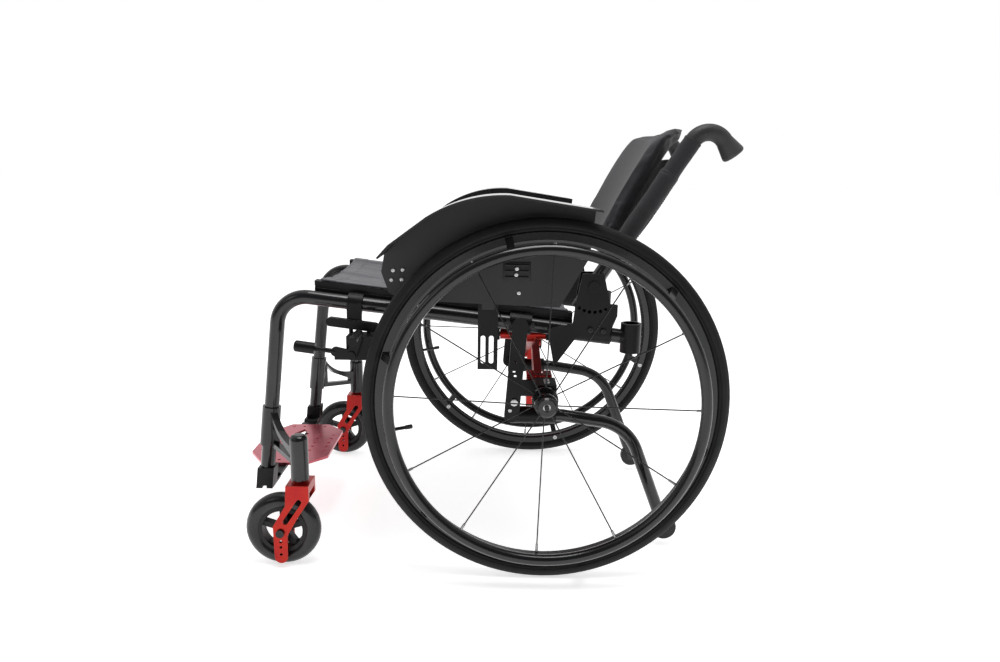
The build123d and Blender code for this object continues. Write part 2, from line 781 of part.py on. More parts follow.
def brace_arm(top_side, arm_y):
    """In a part: an arm from one side's block up to the other side's seat rail. Side 1 has the left rail."""
    top_x = top_side * brace_x
    down = Vector(-top_side * cos(radians(brace_slope)), 0, -sin(radians(brace_slope)))
    with BuildSketch(across(arm_y)) as shape:
        with Locations(Location((0, brace_middle), top_side * brace_slope)):
            with Locations((-top_side * arm_setback / 2, 0)):
                SlotCenterToCenter(brace_length - arm_setback, brace_depth)
            with Locations((0, 0)):
                with Locations((-brace_length / 4, 0), (brace_length / 4, 0)):
                    SlotOverall(brace_length / 5, 8, mode=Mode.SUBTRACT)
    extrude(shape.sketch, amount=brace_width / 2, both=True)
    rail_end = Plane(origin=(top_x, axle_y, brace_high), x_dir=down, z_dir=down.cross(Vector(0, 1, 0)))
    with BuildSketch(rail_end) as gusset:
        outline(
            (0, barrel_front),
            (0, barrel_rear),
            (gusset_reach, arm_y + brace_width / 2),
            (gusset_reach, arm_y - brace_width / 2),
        )
    extrude(gusset.sketch, amount=gusset_half, both=True)
    long_rod(top_x, brace_high, barrel_radius, barrel_front, barrel_rear)
    long_rod(top_x, brace_high, brace_pin + running, barrel_front, barrel_rear, mode=Mode.SUBTRACT)
    long_rod(-top_x, brace_low, brace_pin + running, arm_y - brace_width, arm_y + brace_width,
             mode=Mode.SUBTRACT)


# The bolt that the arms cross on is fixed in the front arm, and turns in the rear one.
bolt_front = arm_a_y - brace_width / 2
bolt_rear = arm_b_y + brace_width / 2 + rest_gap
with BuildPart() as front_brace_arm:
    brace_arm(1, arm_a_y)
    long_rod(0, brace_middle, brace_bolt_radius, bolt_front, bolt_rear)
    long_rod(0, brace_middle, bolt_washer, bolt_front - bolt_washer_height, bolt_front)
    long_rod(0, brace_middle, bolt_washer, bolt_rear, bolt_rear + bolt_washer_height)
write(front_brace_arm, "front_brace_arm")

with BuildPart() as rear_brace_arm:
    brace_arm(-1, arm_b_y)
    long_rod(0, brace_middle, brace_bolt_radius + running, bolt_front, bolt_rear, mode=Mode.SUBTRACT)
write(rear_brace_arm, "rear_brace_arm")

# ---- Seat rails, and the sling between them ---------------------------------------------------------
groove_width = 4.0
groove_depth = 6.0
rib_depth = 1.5
rib_half = 2.0
lug_width = 8.5
lug_half = barrel_radius
sling_thickness = 3.0
sling_front = -385.0
sling_rear = 42.0
sling_half = brace_x + 8.0


def along_seat(y_low, y_high, low, high):
    """In a sketch: a strip that follows the seat, between two heights over the seat tube's centre."""
    outline(
        (y_low, seat_z(y_low) + low),
        (y_high, seat_z(y_high) + low),
        (y_high, seat_z(y_high) + high),
        (y_low, seat_z(y_low) + high),
    )


rail_low = rail_lift - rail_height / 2
rail_high = rail_lift + rail_height / 2
with BuildPart() as seat_rail:
    with BuildSketch(side(brace_x)):
        along_seat(rail_front, rail_rear, rail_low, rail_high)
    extrude(amount=rail_width / 2, both=True)
    with BuildSketch(side(brace_x)):
        along_seat(rail_front, rail_rear, rail_high - groove_depth, rail_high)
    extrude(amount=groove_width / 2, both=True, mode=Mode.SUBTRACT)
    with BuildSketch(side(brace_x + rail_width / 2 - rib_depth)):
        for rib in (rail_low + 9, rail_low + 20):
            along_seat(rail_front, rail_rear, rib - rib_half, rib + rib_half)
    extrude(amount=rib_depth, mode=Mode.SUBTRACT)
    for lug_y in (barrel_front - gap - lug_width, barrel_rear + gap):
        block(brace_x - lug_half, brace_x + lug_half, lug_y, lug_y + lug_width, brace_high - barrel_radius,
              seat_z(lug_y + lug_width) + rail_low + 1)
    long_rod(brace_x, brace_high, brace_pin, barrel_front - gap - lug_width, barrel_rear + gap + lug_width)
write_pair(seat_rail, "seat_rail")

with BuildPart() as seat_sling:
    with BuildSketch(side(0)):
        along_seat(sling_front, sling_rear, rail_high + rest_gap, rail_high + rest_gap + sling_thickness)
    extrude(amount=sling_half, both=True)
write(seat_sling, "seat_sling")

# ---- Back bracket: a plate each side of the cane, on the seat tube ----------------------------------
bracket_front = 54.0
bracket_rear = 115.0
lock_radius = 44.0
lock_hole = 3.0
lock_first = 237.0
lock_step = 12.2
pivot_pin = 5.0
pivot_head = 9.0

with BuildPart() as back_bracket:
    seat_tube_sleeve(saddle_radius, bracket_front, bracket_rear)
    with BuildSketch(side(frame_face + gap)):
        outline(
            (back_pivot_y - 20, back_pivot_z + 21),
            (back_pivot_y + 16, back_pivot_z + 21),
            (back_pivot_y + 28, back_pivot_z - 30),
            (back_pivot_y + 41, back_pivot_z - 31),
            (back_pivot_y + 41, back_pivot_z - 50),
            (bracket_rear - 6, seat_z(bracket_rear)),
            (bracket_front + 1, seat_z(bracket_front) - 8),
            (18, seat_z(18) - 64.7),
            (5, seat_z(5)),
            (bracket_front - 6, seat_z(bracket_front) + 14),
            (bracket_front - 2, back_pivot_z - 30),
        )
        with Locations((back_pivot_y, back_pivot_z)):
            with PolarLocations(lock_radius, 6, start_angle=lock_first, angular_range=6 * lock_step):
                Circle(lock_hole, mode=Mode.SUBTRACT)
    extrude(amount=plate)
    with BuildSketch(side(frame_x - tube_radius - gap - plate)):
        outline(
            (back_pivot_y - 20, back_pivot_z + 21),
            (back_pivot_y + 16, back_pivot_z + 21),
            (back_pivot_y + 28, back_pivot_z - 40),
            (bracket_rear, seat_z(bracket_rear)),
            (bracket_front, seat_z(bracket_front)),
            (bracket_front, back_pivot_z - 30),
        )
    extrude(amount=plate)
    add(frame_rod.part, mode=Mode.SUBTRACT)
    pin_low = frame_x - tube_radius - gap - plate - 3
    pin_high = frame_face + gap + plate + 3
    cross_rod(back_pivot_y, back_pivot_z, pivot_pin, pin_low, pin_high)
    cross_rod(back_pivot_y, back_pivot_z, pivot_head, pin_high - 3, pin_high)
    cross_rod(back_pivot_y, back_pivot_z, pivot_head, pin_low, pin_low + 3)
write_pair(back_bracket, "back_bracket")

# ---- Back cane with its push handle, and the rubber grip ---------------------------------------------
grip_cover = 12.0  # thickness of the grip's closed end
grip_before_bend = 8.0
grip_lip = 6.0
cane_way = (sin(radians(back_recline)), cos(radians(back_recline)))
handle_way = (cos(radians(handle_drop)), -sin(radians(handle_drop)))
bend_run = handle_bend * tan(radians((90 - back_recline + handle_drop) / 2))


def along_cane(distance, forward=0.0):
    """Point of the cane's side view: so far above the pivot, and so far in front of its centre line."""
    return (
        back_pivot_y + distance * cane_way[0] - forward * cane_way[1],
        back_pivot_z + distance * cane_way[1] + forward * cane_way[0],
    )


def along_handle(distance):
    """Point of the push handle's centre line, from its corner."""
    corner = along_cane(cane_length)
    return (corner[0] + distance * handle_way[0], corner[1] + distance * handle_way[1])


cane_route = [along_cane(-cane_tail), along_cane(cane_length), along_handle(handle_length - grip_cover)]
cane_rod = round_bar(frame_x, cane_route, handle_bend, tube_radius)
with BuildPart() as back_cane:
    add(round_bar(frame_x, cane_route, handle_bend, tube_radius, inner_tube).part)
    cross_rod(back_pivot_y, back_pivot_z, pivot_pin + running, frame_x - 20, frame_x + 20, mode=Mode.SUBTRACT)
    tail_hole = along_cane(-lock_radius)
    cross_rod(tail_hole[0], tail_hole[1], lock_hole, frame_x - 20, frame_x + 20, mode=Mode.SUBTRACT)
write_pair(back_cane, "back_cane")


def handle_plane(distance):
    """Plane square to the push handle."""
    return Plane(
        origin=side(frame_x).from_local_coords(along_handle(distance)),
        z_dir=side(frame_x).from_local_coords(along_handle(distance + 1))
        - side(frame_x).from_local_coords(along_handle(distance)),
    )


grip_route = [
    along_cane(cane_length - bend_run - grip_before_bend),
    along_cane(cane_length),
    along_handle(bend_run + 4),
]
with BuildPart() as push_grip:
    add(round_bar(frame_x, grip_route, handle_bend, grip_radius).part)
    with BuildSketch(handle_plane(bend_run + 2)):
        Circle(grip_radius)
    with BuildSketch(handle_plane(handle_length - grip_lip)):
        Circle(grip_end_radius)
    loft()
    with BuildSketch(handle_plane(handle_length - grip_lip)):
        Circle(grip_end_radius)
    extrude(amount=grip_lip)
    end_point = side(frame_x).from_local_coords(along_handle(handle_length))
    fillet(push_grip.faces().sort_by_distance(end_point)[0].edges(), grip_rounding)
    add(cane_rod.part, mode=Mode.SUBTRACT)
write_pair(push_grip, "push_grip")

# ---- Back sling -------------------------------------------------------------------------------------
back_sling_low = 75.0
back_sling_high = 285.0
back_sling_forward = 36.0
back_sling_behind = 17.0
back_sling_half = frame_x - tube_radius - 2.5

with BuildPart() as back_sling:
    with BuildSketch(side(0)):
        outline(
            along_cane(back_sling_low, back_sling_forward),
            along_cane(back_sling_low, -back_sling_behind),
            along_cane(back_sling_high, -back_sling_behind),
            along_cane(back_sling_high, back_sling_forward),
        )
    extrude(amount=back_sling_half, both=True)
write(back_sling, "back_sling")

# ---- Anti-tip tube and its small wheel --------------------------------------------------------------
antitip_knee = (153.5, antitip_height - 17.3)
antitip_wheel_at = (228.0, antitip_wheel_radius + antitip_float)
antitip_bends = (60.0, 85.0)
cheek_gap = 9.5
cheek_thickness = 3.0
antitip_pin = 3.0
antitip_wheel_half = 9.0
tube_clear = 2.5

shank_run = hypot(antitip_wheel_at[0] - antitip_knee[0], antitip_wheel_at[1] - antitip_knee[1])
shank_way = (
    (antitip_wheel_at[0] - antitip_knee[0]) / shank_run,
    (antitip_wheel_at[1] - antitip_knee[1]) / shank_run,
)
shank_stop = antitip_wheel_radius + tube_clear
shank_end = (
    antitip_wheel_at[0] - shank_way[0] * shank_stop,
    antitip_wheel_at[1] - shank_way[1] * shank_stop,
)
cheek_top = (
    antitip_wheel_at[0] - shank_way[0] * (shank_stop + 8),
    antitip_wheel_at[1] - shank_way[1] * (shank_stop + 8),
)
antitip_route = [(receiver_front + 15, antitip_height), (receiver_rear + 10, antitip_height), antitip_knee,
                 shank_end]
antitip_inner = antitip_radius - tube_wall
with BuildPart() as antitip_tube:
    add(round_bar(antitip_x, antitip_route, antitip_bends, antitip_radius, antitip_inner).part)
    for cheek_x in (antitip_x + cheek_gap, antitip_x - cheek_gap - cheek_thickness):
        with BuildSketch(side(cheek_x)):
            slot_between(cheek_top, antitip_wheel_at, 16)
        extrude(amount=cheek_thickness)
    cross_rod(antitip_wheel_at[0], antitip_wheel_at[1], antitip_pin, antitip_x - cheek_gap - cheek_thickness,
              antitip_x + cheek_gap + cheek_thickness)
write_pair(antitip_tube, "antitip_tube")

with BuildPart() as antitip_wheel:
    cross_rod(antitip_wheel_at[0], antitip_wheel_at[1], antitip_wheel_radius, antitip_x - antitip_wheel_half,
              antitip_x + antitip_wheel_half)
    fillet(antitip_wheel.edges(), 3)
    cross_rod(antitip_wheel_at[0], antitip_wheel_at[1], antitip_pin + running, antitip_x - antitip_wheel_half,
              antitip_x + antitip_wheel_half, mode=Mode.SUBTRACT)
write_pair(antitip_wheel, "antitip_wheel")

# ---- Guard bracket and side guard -------------------------------------------------------------------
guard_bracket_front = -113.0
guard_bracket_rear = -79.0
guard_bracket_low = seat_tube_height - 71.7
guard_bracket_high = seat_tube_height + 87.3
guard_bracket_x = frame_face + 7.5
guard_bracket_thickness = 3.0
guard_x = guard_bracket_x + guard_bracket_thickness + 2.0
guard_thickness = 3.0
guard_reach = 93.0
guide_gap = 0.3

with BuildPart() as guard_bracket:
    with BuildSketch(side(guard_bracket_x)):
        outline(
            (guard_bracket_front, guard_bracket_low),
            (guard_bracket_rear, guard_bracket_low),
            (guard_bracket_rear, guard_bracket_high),
            (guard_bracket_front, guard_bracket_high),
        )
        for slot_y in (guard_bracket_front + 9, guard_bracket_rear - 11):
            slot_between((slot_y, guard_bracket_low + 14), (slot_y, guard_bracket_low + 55), 8, Mode.SUBTRACT)
    extrude(amount=guard_bracket_thickness)
    block(frame_face - 6, guard_bracket_x, guard_bracket_front + 3, guard_bracket_rear - 3,
          seat_z(guard_bracket_front) - 9, seat_z(guard_bracket_front) + 9)
    for cheek_y in (guard_bracket_front, guard_bracket_rear - 6):
        block(guard_bracket_x, guard_x - guide_gap, cheek_y, cheek_y + 6, seat_z(cheek_y) + 30,
              guard_bracket_high)
    add(frame_rod.part, mode=Mode.SUBTRACT)
write_pair(guard_bracket, "guard_bracket")



def over_tyre(angle, clearance):
    """Point outside the rear tyre, in a side view: the angle is from the rear upwards, in degrees."""
    reach = wheel_radius + clearance
    return (reach * cos(radians(angle)), wheel_z + reach * sin(radians(angle)))


guard_nose = over_tyre(139.02, 57.5)
guard_brow = over_tyre(134.68, 58.0)
guard_shoulder = over_tyre(122.99, 55.1)
guard_crown = over_tyre(111.42, 50.3)
guard_peak = over_tyre(100.78, 39.2)
guard_tip = over_tyre(75.70, 22.2)


def guard_top_edge():
    """In a line: the top edge of the guard, from its nose to its rear tip."""
    Line(guard_nose, guard_brow)
    Line(guard_brow, guard_shoulder)
    ThreePointArc(guard_shoulder, guard_crown, guard_peak)
    Line(guard_peak, guard_tip)


with BuildPart() as side_guard:
    with BuildSketch(side(guard_x)):
        with BuildLine():
            guard_top_edge()
            Polyline(
                guard_tip,
                (71, seat_tube_height + 122.3),
                (24, seat_tube_height + 38.3),
                (-240, seat_tube_height + 47.3),
                (-262, seat_tube_height + 59.3),
                (-274, seat_tube_height + 94.3),
                guard_nose,
            )
        make_face()
    extrude(amount=guard_thickness)
    with BuildSketch(side(guard_x)):
        with BuildLine() as top_edge:
            guard_top_edge()
            offset(amount=guard_thickness, side=Side.RIGHT)
        make_face()
    extrude(amount=guard_reach)
    block(guard_x - 1.7, guard_x, guard_bracket_front + 6 + guide_gap, guard_bracket_rear - 6 - guide_gap,
          guard_bracket_high - 55, guard_bracket_high + 30)
write_pair(side_guard, "side_guard")

# ---- Brake: body on the seat tube, and the lever with its shoe ---------------------------------------
shoe_y = -wheel_radius - 10.5
brake_pivot_y = shoe_y - 12.0
brake_pivot_z = seat_z(shoe_y) - 75.2
brake_front = brake_pivot_y - 15.0
brake_rear = brake_pivot_y + 10.0


def from_brake(y, z):
    """Point of a side view, given from the brake's pivot."""
    return (brake_pivot_y + y, brake_pivot_z + z)


brake_pivot = from_brake(0, 0)
brake_shoe = from_brake(12.0, 35.0)
brake_body_end = frame_face + 41.5
brake_rail_z = brake_pivot_z + 39.0
brake_rail_height = 15.0
brake_rail_width = 12.0
brake_post = 3.5
lever_x = brake_body_end + 4.0
lever_thickness = 6.0
lever_pin = 4.0
lever_head = 7.0
lever_width = 16.0
shoe_radius = 7.0
shoe_end = wheel_x + tyre_section
lever_knee = from_brake(-26.0, 6.0)
grip_start = from_brake(-60.0, 10.5)
grip_tip = from_brake(-94.0, 15.0)
lever_rod = 4.0
lever_grip = 9.5

with BuildPart() as brake_body:
    seat_tube_sleeve(saddle_radius, brake_front, brake_rear)
    block(0, frame_x, brake_front - 10, brake_rear + 10, 0, 2 * seat_tube_height, mode=Mode.SUBTRACT)
    block(frame_face, frame_face + 6, brake_front, brake_rear, brake_rail_z, seat_z(brake_front))
    with BuildSketch(side(frame_face)):
        slot_between(from_brake(-42, 48), from_brake(32, 39), brake_rail_height)
    extrude(amount=brake_rail_width)
    for post in (-8, 22):
        with BuildSketch(level(brake_pivot_z + 23)):
            with Locations((frame_face + 7, brake_pivot_y + post)):
                Circle(brake_post)
        extrude(amount=brake_rail_z - brake_pivot_z - 19)
    block(frame_face + 2, brake_body_end, brake_pivot_y - 10, brake_pivot_y + 34, brake_pivot_z - 4,
          brake_pivot_z + 30)
    block(frame_face + 8, brake_body_end, brake_pivot_y - 30, brake_pivot_y + 28, brake_pivot_z - 10,
          brake_pivot_z - 4)
    cross_rod(brake_pivot[0], brake_pivot[1], lever_pin, brake_body_end, lever_x + lever_thickness + 3)
    cross_rod(brake_pivot[0], brake_pivot[1], lever_head, lever_x + lever_thickness + rest_gap,
              lever_x + lever_thickness + 3)
    add(frame_rod.part, mode=Mode.SUBTRACT)
write_pair(brake_body, "brake_body")

with BuildPart() as brake_lever:
    with BuildSketch(side(lever_x)):
        slot_between(lever_knee, brake_pivot, lever_width)
        slot_between(brake_pivot, brake_shoe, lever_width)
    extrude(amount=lever_thickness)
    cross_rod(brake_pivot[0], brake_pivot[1], lever_pin + running, lever_x, lever_x + lever_thickness,
              mode=Mode.SUBTRACT)
    cross_rod(brake_shoe[0], brake_shoe[1], shoe_radius, lever_x, shoe_end)
    lever_side = side(lever_x + lever_thickness / 2)
    rod_root = lever_side.from_local_coords(lever_knee)
    grip_root = lever_side.from_local_coords(grip_start)
    straight_rod(rod_root, grip_root, lever_rod)
    straight_rod(grip_root, lever_side.from_local_coords(grip_tip), lever_grip)
    fillet(brake_lever.faces().sort_by(Axis.Y)[0].edges(), 4)
write_pair(brake_lever, "brake_lever")

print("rear axle at y =", round(axle_y, 3), "hub centre z =", round(wheel_z, 3))
print("stem y =", stem_y, "brace slope =", round(brace_slope, 3), "brace length =", round(brace_length, 3))
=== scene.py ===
"""Looks of a folding manual wheelchair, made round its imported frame.

Lengths are in metres. +Z is up, the chair faces -Y and +X is the sitter's left. Each left-hand piece has
a mirrored twin, made by the same loop.
"""

import json
from math import atan2, cos, exp, pi, radians, sin

import bmesh
import bpy
from mathutils import Matrix, Vector, noise


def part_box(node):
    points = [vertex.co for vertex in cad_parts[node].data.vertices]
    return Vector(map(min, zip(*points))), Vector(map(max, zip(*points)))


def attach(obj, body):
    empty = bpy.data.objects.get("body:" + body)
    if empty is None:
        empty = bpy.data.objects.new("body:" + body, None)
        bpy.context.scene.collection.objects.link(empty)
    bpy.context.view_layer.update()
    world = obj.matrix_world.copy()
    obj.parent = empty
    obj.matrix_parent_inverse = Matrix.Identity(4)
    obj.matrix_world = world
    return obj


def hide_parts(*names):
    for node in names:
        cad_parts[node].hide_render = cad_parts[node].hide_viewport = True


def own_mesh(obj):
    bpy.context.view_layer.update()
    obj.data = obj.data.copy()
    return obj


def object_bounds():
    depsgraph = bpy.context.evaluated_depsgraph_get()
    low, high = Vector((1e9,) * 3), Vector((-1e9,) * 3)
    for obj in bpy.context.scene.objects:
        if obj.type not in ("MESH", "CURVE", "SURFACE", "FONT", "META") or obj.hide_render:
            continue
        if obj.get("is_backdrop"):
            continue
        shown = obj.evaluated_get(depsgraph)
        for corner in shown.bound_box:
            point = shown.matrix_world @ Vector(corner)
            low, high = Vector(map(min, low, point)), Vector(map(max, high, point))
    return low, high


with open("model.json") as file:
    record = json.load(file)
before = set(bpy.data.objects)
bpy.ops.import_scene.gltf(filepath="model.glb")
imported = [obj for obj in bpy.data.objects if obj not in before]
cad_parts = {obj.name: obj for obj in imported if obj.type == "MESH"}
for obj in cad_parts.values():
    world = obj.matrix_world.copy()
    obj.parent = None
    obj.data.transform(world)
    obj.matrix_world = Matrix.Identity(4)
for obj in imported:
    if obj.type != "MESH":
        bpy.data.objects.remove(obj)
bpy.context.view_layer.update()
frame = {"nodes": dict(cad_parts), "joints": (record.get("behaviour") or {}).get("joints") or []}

# ---- Studio -----------------------------------------------------------------------------------------
# The chair stands on a white floor before a bright backdrop on its right side, which fades to a dim room
# on its left. A large soft lamp hangs above and a smaller one stands before it.


class Link:
    """A socket of a finish. Arithmetic on it adds Math nodes."""

    def __init__(self, finish, socket):
        self.finish = finish
        self.socket = socket

    def __add__(self, other):
        return self.finish.maths("ADD", self, other)

    def __sub__(self, other):
        return self.finish.maths("SUBTRACT", self, other)

    def __rsub__(self, other):
        return self.finish.maths("SUBTRACT", other, self)

    def __mul__(self, other):
        return self.finish.maths("MULTIPLY", self, other)

    def __pow__(self, other):
        return self.finish.maths("POWER", self, other)

    __radd__ = __add__
    __rmul__ = __mul__


class Finish:
    """A surface finish: a material, its Principled shader, and the nodes that feed it."""

    def __init__(self, name, constants):
        self.material = bpy.data.materials.new(name)
        self.material.use_nodes = True
        self.tree = self.material.node_tree
        self.shader = next(node for node in self.tree.nodes if node.type == "BSDF_PRINCIPLED")
        for socket, value in constants.items():
            self.shader.inputs[socket].default_value = value

    def node(self, kind, settings, sockets, output=0):
        """Adds a node, sets it, and then gives its sockets their values or links."""
        node = self.tree.nodes.new(kind)
        for name, value in settings.items():
            setattr(node, name, value)
        for name, value in sockets.items():
            if isinstance(value, Link):
                self.tree.links.new(value.socket, node.inputs[name])
            else:
                node.inputs[name].default_value = value
        return Link(self, node.outputs[output])

    def maths(self, operation, *terms):
        """A Math node on links and numbers."""
        return self.node("ShaderNodeMath", {"operation": operation}, dict(enumerate(terms)))

    def place(self):
        """Where the point is on the chair at rest."""
        return self.node("ShaderNodeTexCoord", {}, {}, "Object")

    def noise(self, place, scale, detail=3.0):
        """Soft noise from 0 to 1."""
        return self.node("ShaderNodeTexNoise", {}, {"Vector": place, "Scale": scale, "Detail": detail})

    def ramp(self, value, low, high, at_low=0.0, at_high=1.0):
        """Turns the stretch from low to high into the stretch from at_low to at_high."""
        sockets = {"Value": value, "From Min": low, "From Max": high, "To Min": at_low, "To Max": at_high}
        return self.node("ShaderNodeMapRange", {}, sockets)

    def colours(self, share, first, second):
        """Goes from the first colour to the second."""
        return self.node("ShaderNodeMix", {"data_type": "RGBA"}, {0: share, 6: first, 7: second}, 2)

    def rounded(self, radius):
        """The surface's normal, with its edges rounded by a radius."""
        return self.node("ShaderNodeBevel", {"samples": 4}, {"Radius": radius})

    def part(self, vector, axis):
        """One of the parts X, Y and Z of a vector."""
        return self.node("ShaderNodeSeparateXYZ", {}, {"Vector": vector}, axis)

    def cells(self, place, scale, randomness=1.0):
        """Distance to the middle of the nearest of many small cells."""
        sockets = {"Vector": place, "Scale": scale, "Randomness": randomness}
        return self.node("ShaderNodeTexVoronoi", {}, sockets, "Distance")

    def feed(self, socket, value):
        """Links a value to a socket of the shader."""
        self.tree.links.new(value.socket, self.shader.inputs[socket])

    def relief(self, height, distance, strength=1.0, edge=0.0):
        """Raises the surface by a height, over edges that are rounded by the radius edge."""
        sockets = {"Height": height, "Distance": distance, "Strength": strength}
        if edge:
            sockets["Normal"] = self.rounded(edge)
        self.feed("Normal", self.node("ShaderNodeBump", {}, sockets))


def grey(level, blue=1.0):
    """A grey as a colour, a little blue where asked."""
    return (level, level, level * blue, 1.0)


def shown(name, data):
    """Puts new data in the scene as an object."""
    thing = bpy.data.objects.new(name, data)
    bpy.context.scene.collection.objects.link(thing)
    return thing


floor_finish = Finish("studio_floor", {
    "Roughness": 0.9,
    "Specular IOR Level": 0.05,
    "Emission Color": (1.0, 1.0, 1.0, 1.0),
    "Emission Strength": 0.66,
})
floor_patches = floor_finish.noise(floor_finish.place(), 1.5)
floor_finish.feed("Base Color", floor_finish.colours(floor_patches, grey(0.9), grey(0.93)))

floor_half = 30.0
floor_mesh = bmesh.new()
bmesh.ops.create_grid(floor_mesh, x_segments=1, y_segments=1, size=floor_half)
floor_data = bpy.data.meshes.new("floor")
floor_mesh.to_mesh(floor_data)
floor_mesh.free()
floor_data.materials.append(floor_finish.material)
shown("floor", floor_data)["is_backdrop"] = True

world = bpy.data.worlds.new("studio")
world.use_nodes = True
sky = world.node_tree.nodes
surround = sky["Background"]
surround.inputs["Color"].default_value = (1.0, 1.0, 1.0, 1.0)
sky_way = sky.new("ShaderNodeTexCoord")
sky_parts = sky.new("ShaderNodeSeparateXYZ")
sky_fade = sky.new("ShaderNodeMapRange")
for socket, value in {"From Min": -0.25, "From Max": 0.55, "To Min": 0.85, "To Max": 0.1}.items():
    sky_fade.inputs[socket].default_value = value
seen_directly = sky.new("ShaderNodeLightPath")
brightest = sky.new("ShaderNodeMath")
brightest.operation = "MAXIMUM"
for start, end in (
    (sky_way.outputs["Generated"], sky_parts.inputs["Vector"]),
    (sky_parts.outputs["X"], sky_fade.inputs["Value"]),
    (sky_fade.outputs["Result"], brightest.inputs[0]),
    (seen_directly.outputs["Is Camera Ray"], brightest.inputs[1]),
    (brightest.outputs["Value"], surround.inputs["Strength"]),
):
    world.node_tree.links.new(start, end)
bpy.context.scene.world = world
bpy.context.scene.view_settings.view_transform = "Standard"


def lamp(name, place, target, width, power):
    """A soft square lamp that shines at a point."""
    data = bpy.data.lights.new(name, "AREA")
    data.size = width
    data.energy = power
    light = shown(name, data)
    light.location = place
    light.rotation_euler = (Vector(target) - Vector(place)).to_track_quat("-Z", "Y").to_euler()


lamp("overhead_lamp", (0.3, 0.1, 2.6), (0.0, 0.0, 0.3), 1.3, 34.0)
lamp("front_lamp", (1.7, -1.6, 1.5), (0.0, 0.0, 0.4), 0.8, 2.5)

camera_data = bpy.data.cameras.new("camera")
camera_data.lens = 27.11
camera_data.sensor_width = 36.0
camera = shown("camera", camera_data)
camera_place = (1.448, 0.0377, 0.662)
camera_yaw = radians(-0.26)
camera_pitch = radians(11.93)
camera_roll = radians(0.88)
level_right = Matrix.Rotation(camera_yaw, 3, "Z") @ Vector((0, 1, 0))
level_ahead = Matrix.Rotation(camera_yaw, 3, "Z") @ Vector((-1, 0, 0))
ahead = level_ahead * cos(camera_pitch) - Vector((0, 0, sin(camera_pitch)))
upright = Vector((0, 0, cos(camera_pitch))) + level_ahead * sin(camera_pitch)
right = level_right * cos(camera_roll) + upright * sin(camera_roll)
up = upright * cos(camera_roll) - level_right * sin(camera_roll)
camera_axes = Matrix((right, up, -ahead)).transposed()
camera.matrix_world = Matrix.Translation(camera_place) @ camera_axes.to_4x4()
bpy.context.scene.camera = camera

# ---- Side frames, caster housings, back canes and anti-tip tubes ----------------------------------------
# Bent aluminium tube and castings, sprayed with a dark metallic lacquer under a clear coat. It has fine
# flakes and the slight orange peel of sprayed paint.


def dress(finish, *names):
    """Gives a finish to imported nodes. A name without a side stands for both sides."""
    for name in names:
        for node in (name, f"left_{name}", f"right_{name}"):
            if node in frame["nodes"]:
                frame["nodes"][node].material_slots[0].material = finish.material


lacquer = Finish("frame_lacquer", {
    "Coat Roughness": 0.06,
    "Specular IOR Level": 0.18,
})
flakes = lacquer.noise(lacquer.place(), 2600.0, 1.0)
clouds = lacquer.noise(lacquer.place(), 14.0)
peel = lacquer.noise(lacquer.place(), 420.0, 2.0)
flake_mask = lacquer.ramp(flakes, 0.55, 0.75)
lacquer.feed("Base Color", lacquer.colours(flake_mask, grey(0.005, 1.2), grey(0.03, 1.15)))
lacquer.feed("Metallic", flake_mask * 0.4 + 0.05)
lacquer.feed("Roughness", lacquer.ramp(clouds, 0.3, 0.7, 0.3, 0.4))
lacquer.feed("Coat Weight", lacquer.ramp(clouds, 0.3, 0.7, 0.8, 0.6))
lacquer.relief(peel, 0.00004, 0.5, 0.0008)
dress(lacquer, "frame_tube", "back_cane", "caster_bracket", "antitip_tube")

# ---- Black fittings -----------------------------------------------------------------------------------
# Clamps, brackets, brakes and seat rails: machined aluminium, blasted to a fine grain and anodised satin
# black, and rubbed a little paler along its edges. Screws and pins hold them to the tubes.


def sharp_edge_mask(finish, radius, reach):
    """From 0 on flat faces to 1 on sharp edges, broken up by noise."""
    sockets = {0: finish.rounded(radius), 1: finish.node("ShaderNodeNewGeometry", {}, {}, "Normal")}
    facing = finish.node("ShaderNodeVectorMath", {"operation": "DOT_PRODUCT"}, sockets, "Value")
    edge_breakup = finish.noise(finish.place(), 260.0)
    return finish.ramp((1.0 - facing) * edge_breakup, 0.01, reach)


def black_fitting(name, base, edge, rough):
    """Satin black anodising with rubbed edges."""
    finish = Finish(name, {"Specular IOR Level": 0.25})
    grain = finish.noise(finish.place(), 1700.0, 2.0)
    smears = finish.noise(finish.place(), 22.0)
    edges = sharp_edge_mask(finish, 0.0007, 0.16)
    finish.feed("Base Color", finish.colours(edges, grey(base, 1.12), grey(edge, 1.05)))
    finish.feed("Metallic", edges * 0.5 + 0.25)
    finish.feed("Roughness", finish.ramp(smears, 0.3, 0.7, rough - 0.05, rough + 0.07))
    finish.relief(grain, 0.00005, 0.45, 0.0006)
    return finish


satin_black = black_fitting("satin_black", 0.007, 0.06, 0.38)
dress(satin_black, "leg_end", "footplate_carrier", "axle_plate", "back_bracket", "guard_bracket",
      "brake_body", "brake_lever", "seat_rail", "rear_socket")

# ---- Red pieces ---------------------------------------------------------------------------------------
# Caster forks, cross-brace arms and their blocks, and the footplate: machined aluminium, blasted and
# anodised red. Their edges carry a painted orange highlight, and the footplate's paler pink red is
# partly a painted reflection.


painted_edge_highlight = (0.95, 0.26, 0.16, 1.0)


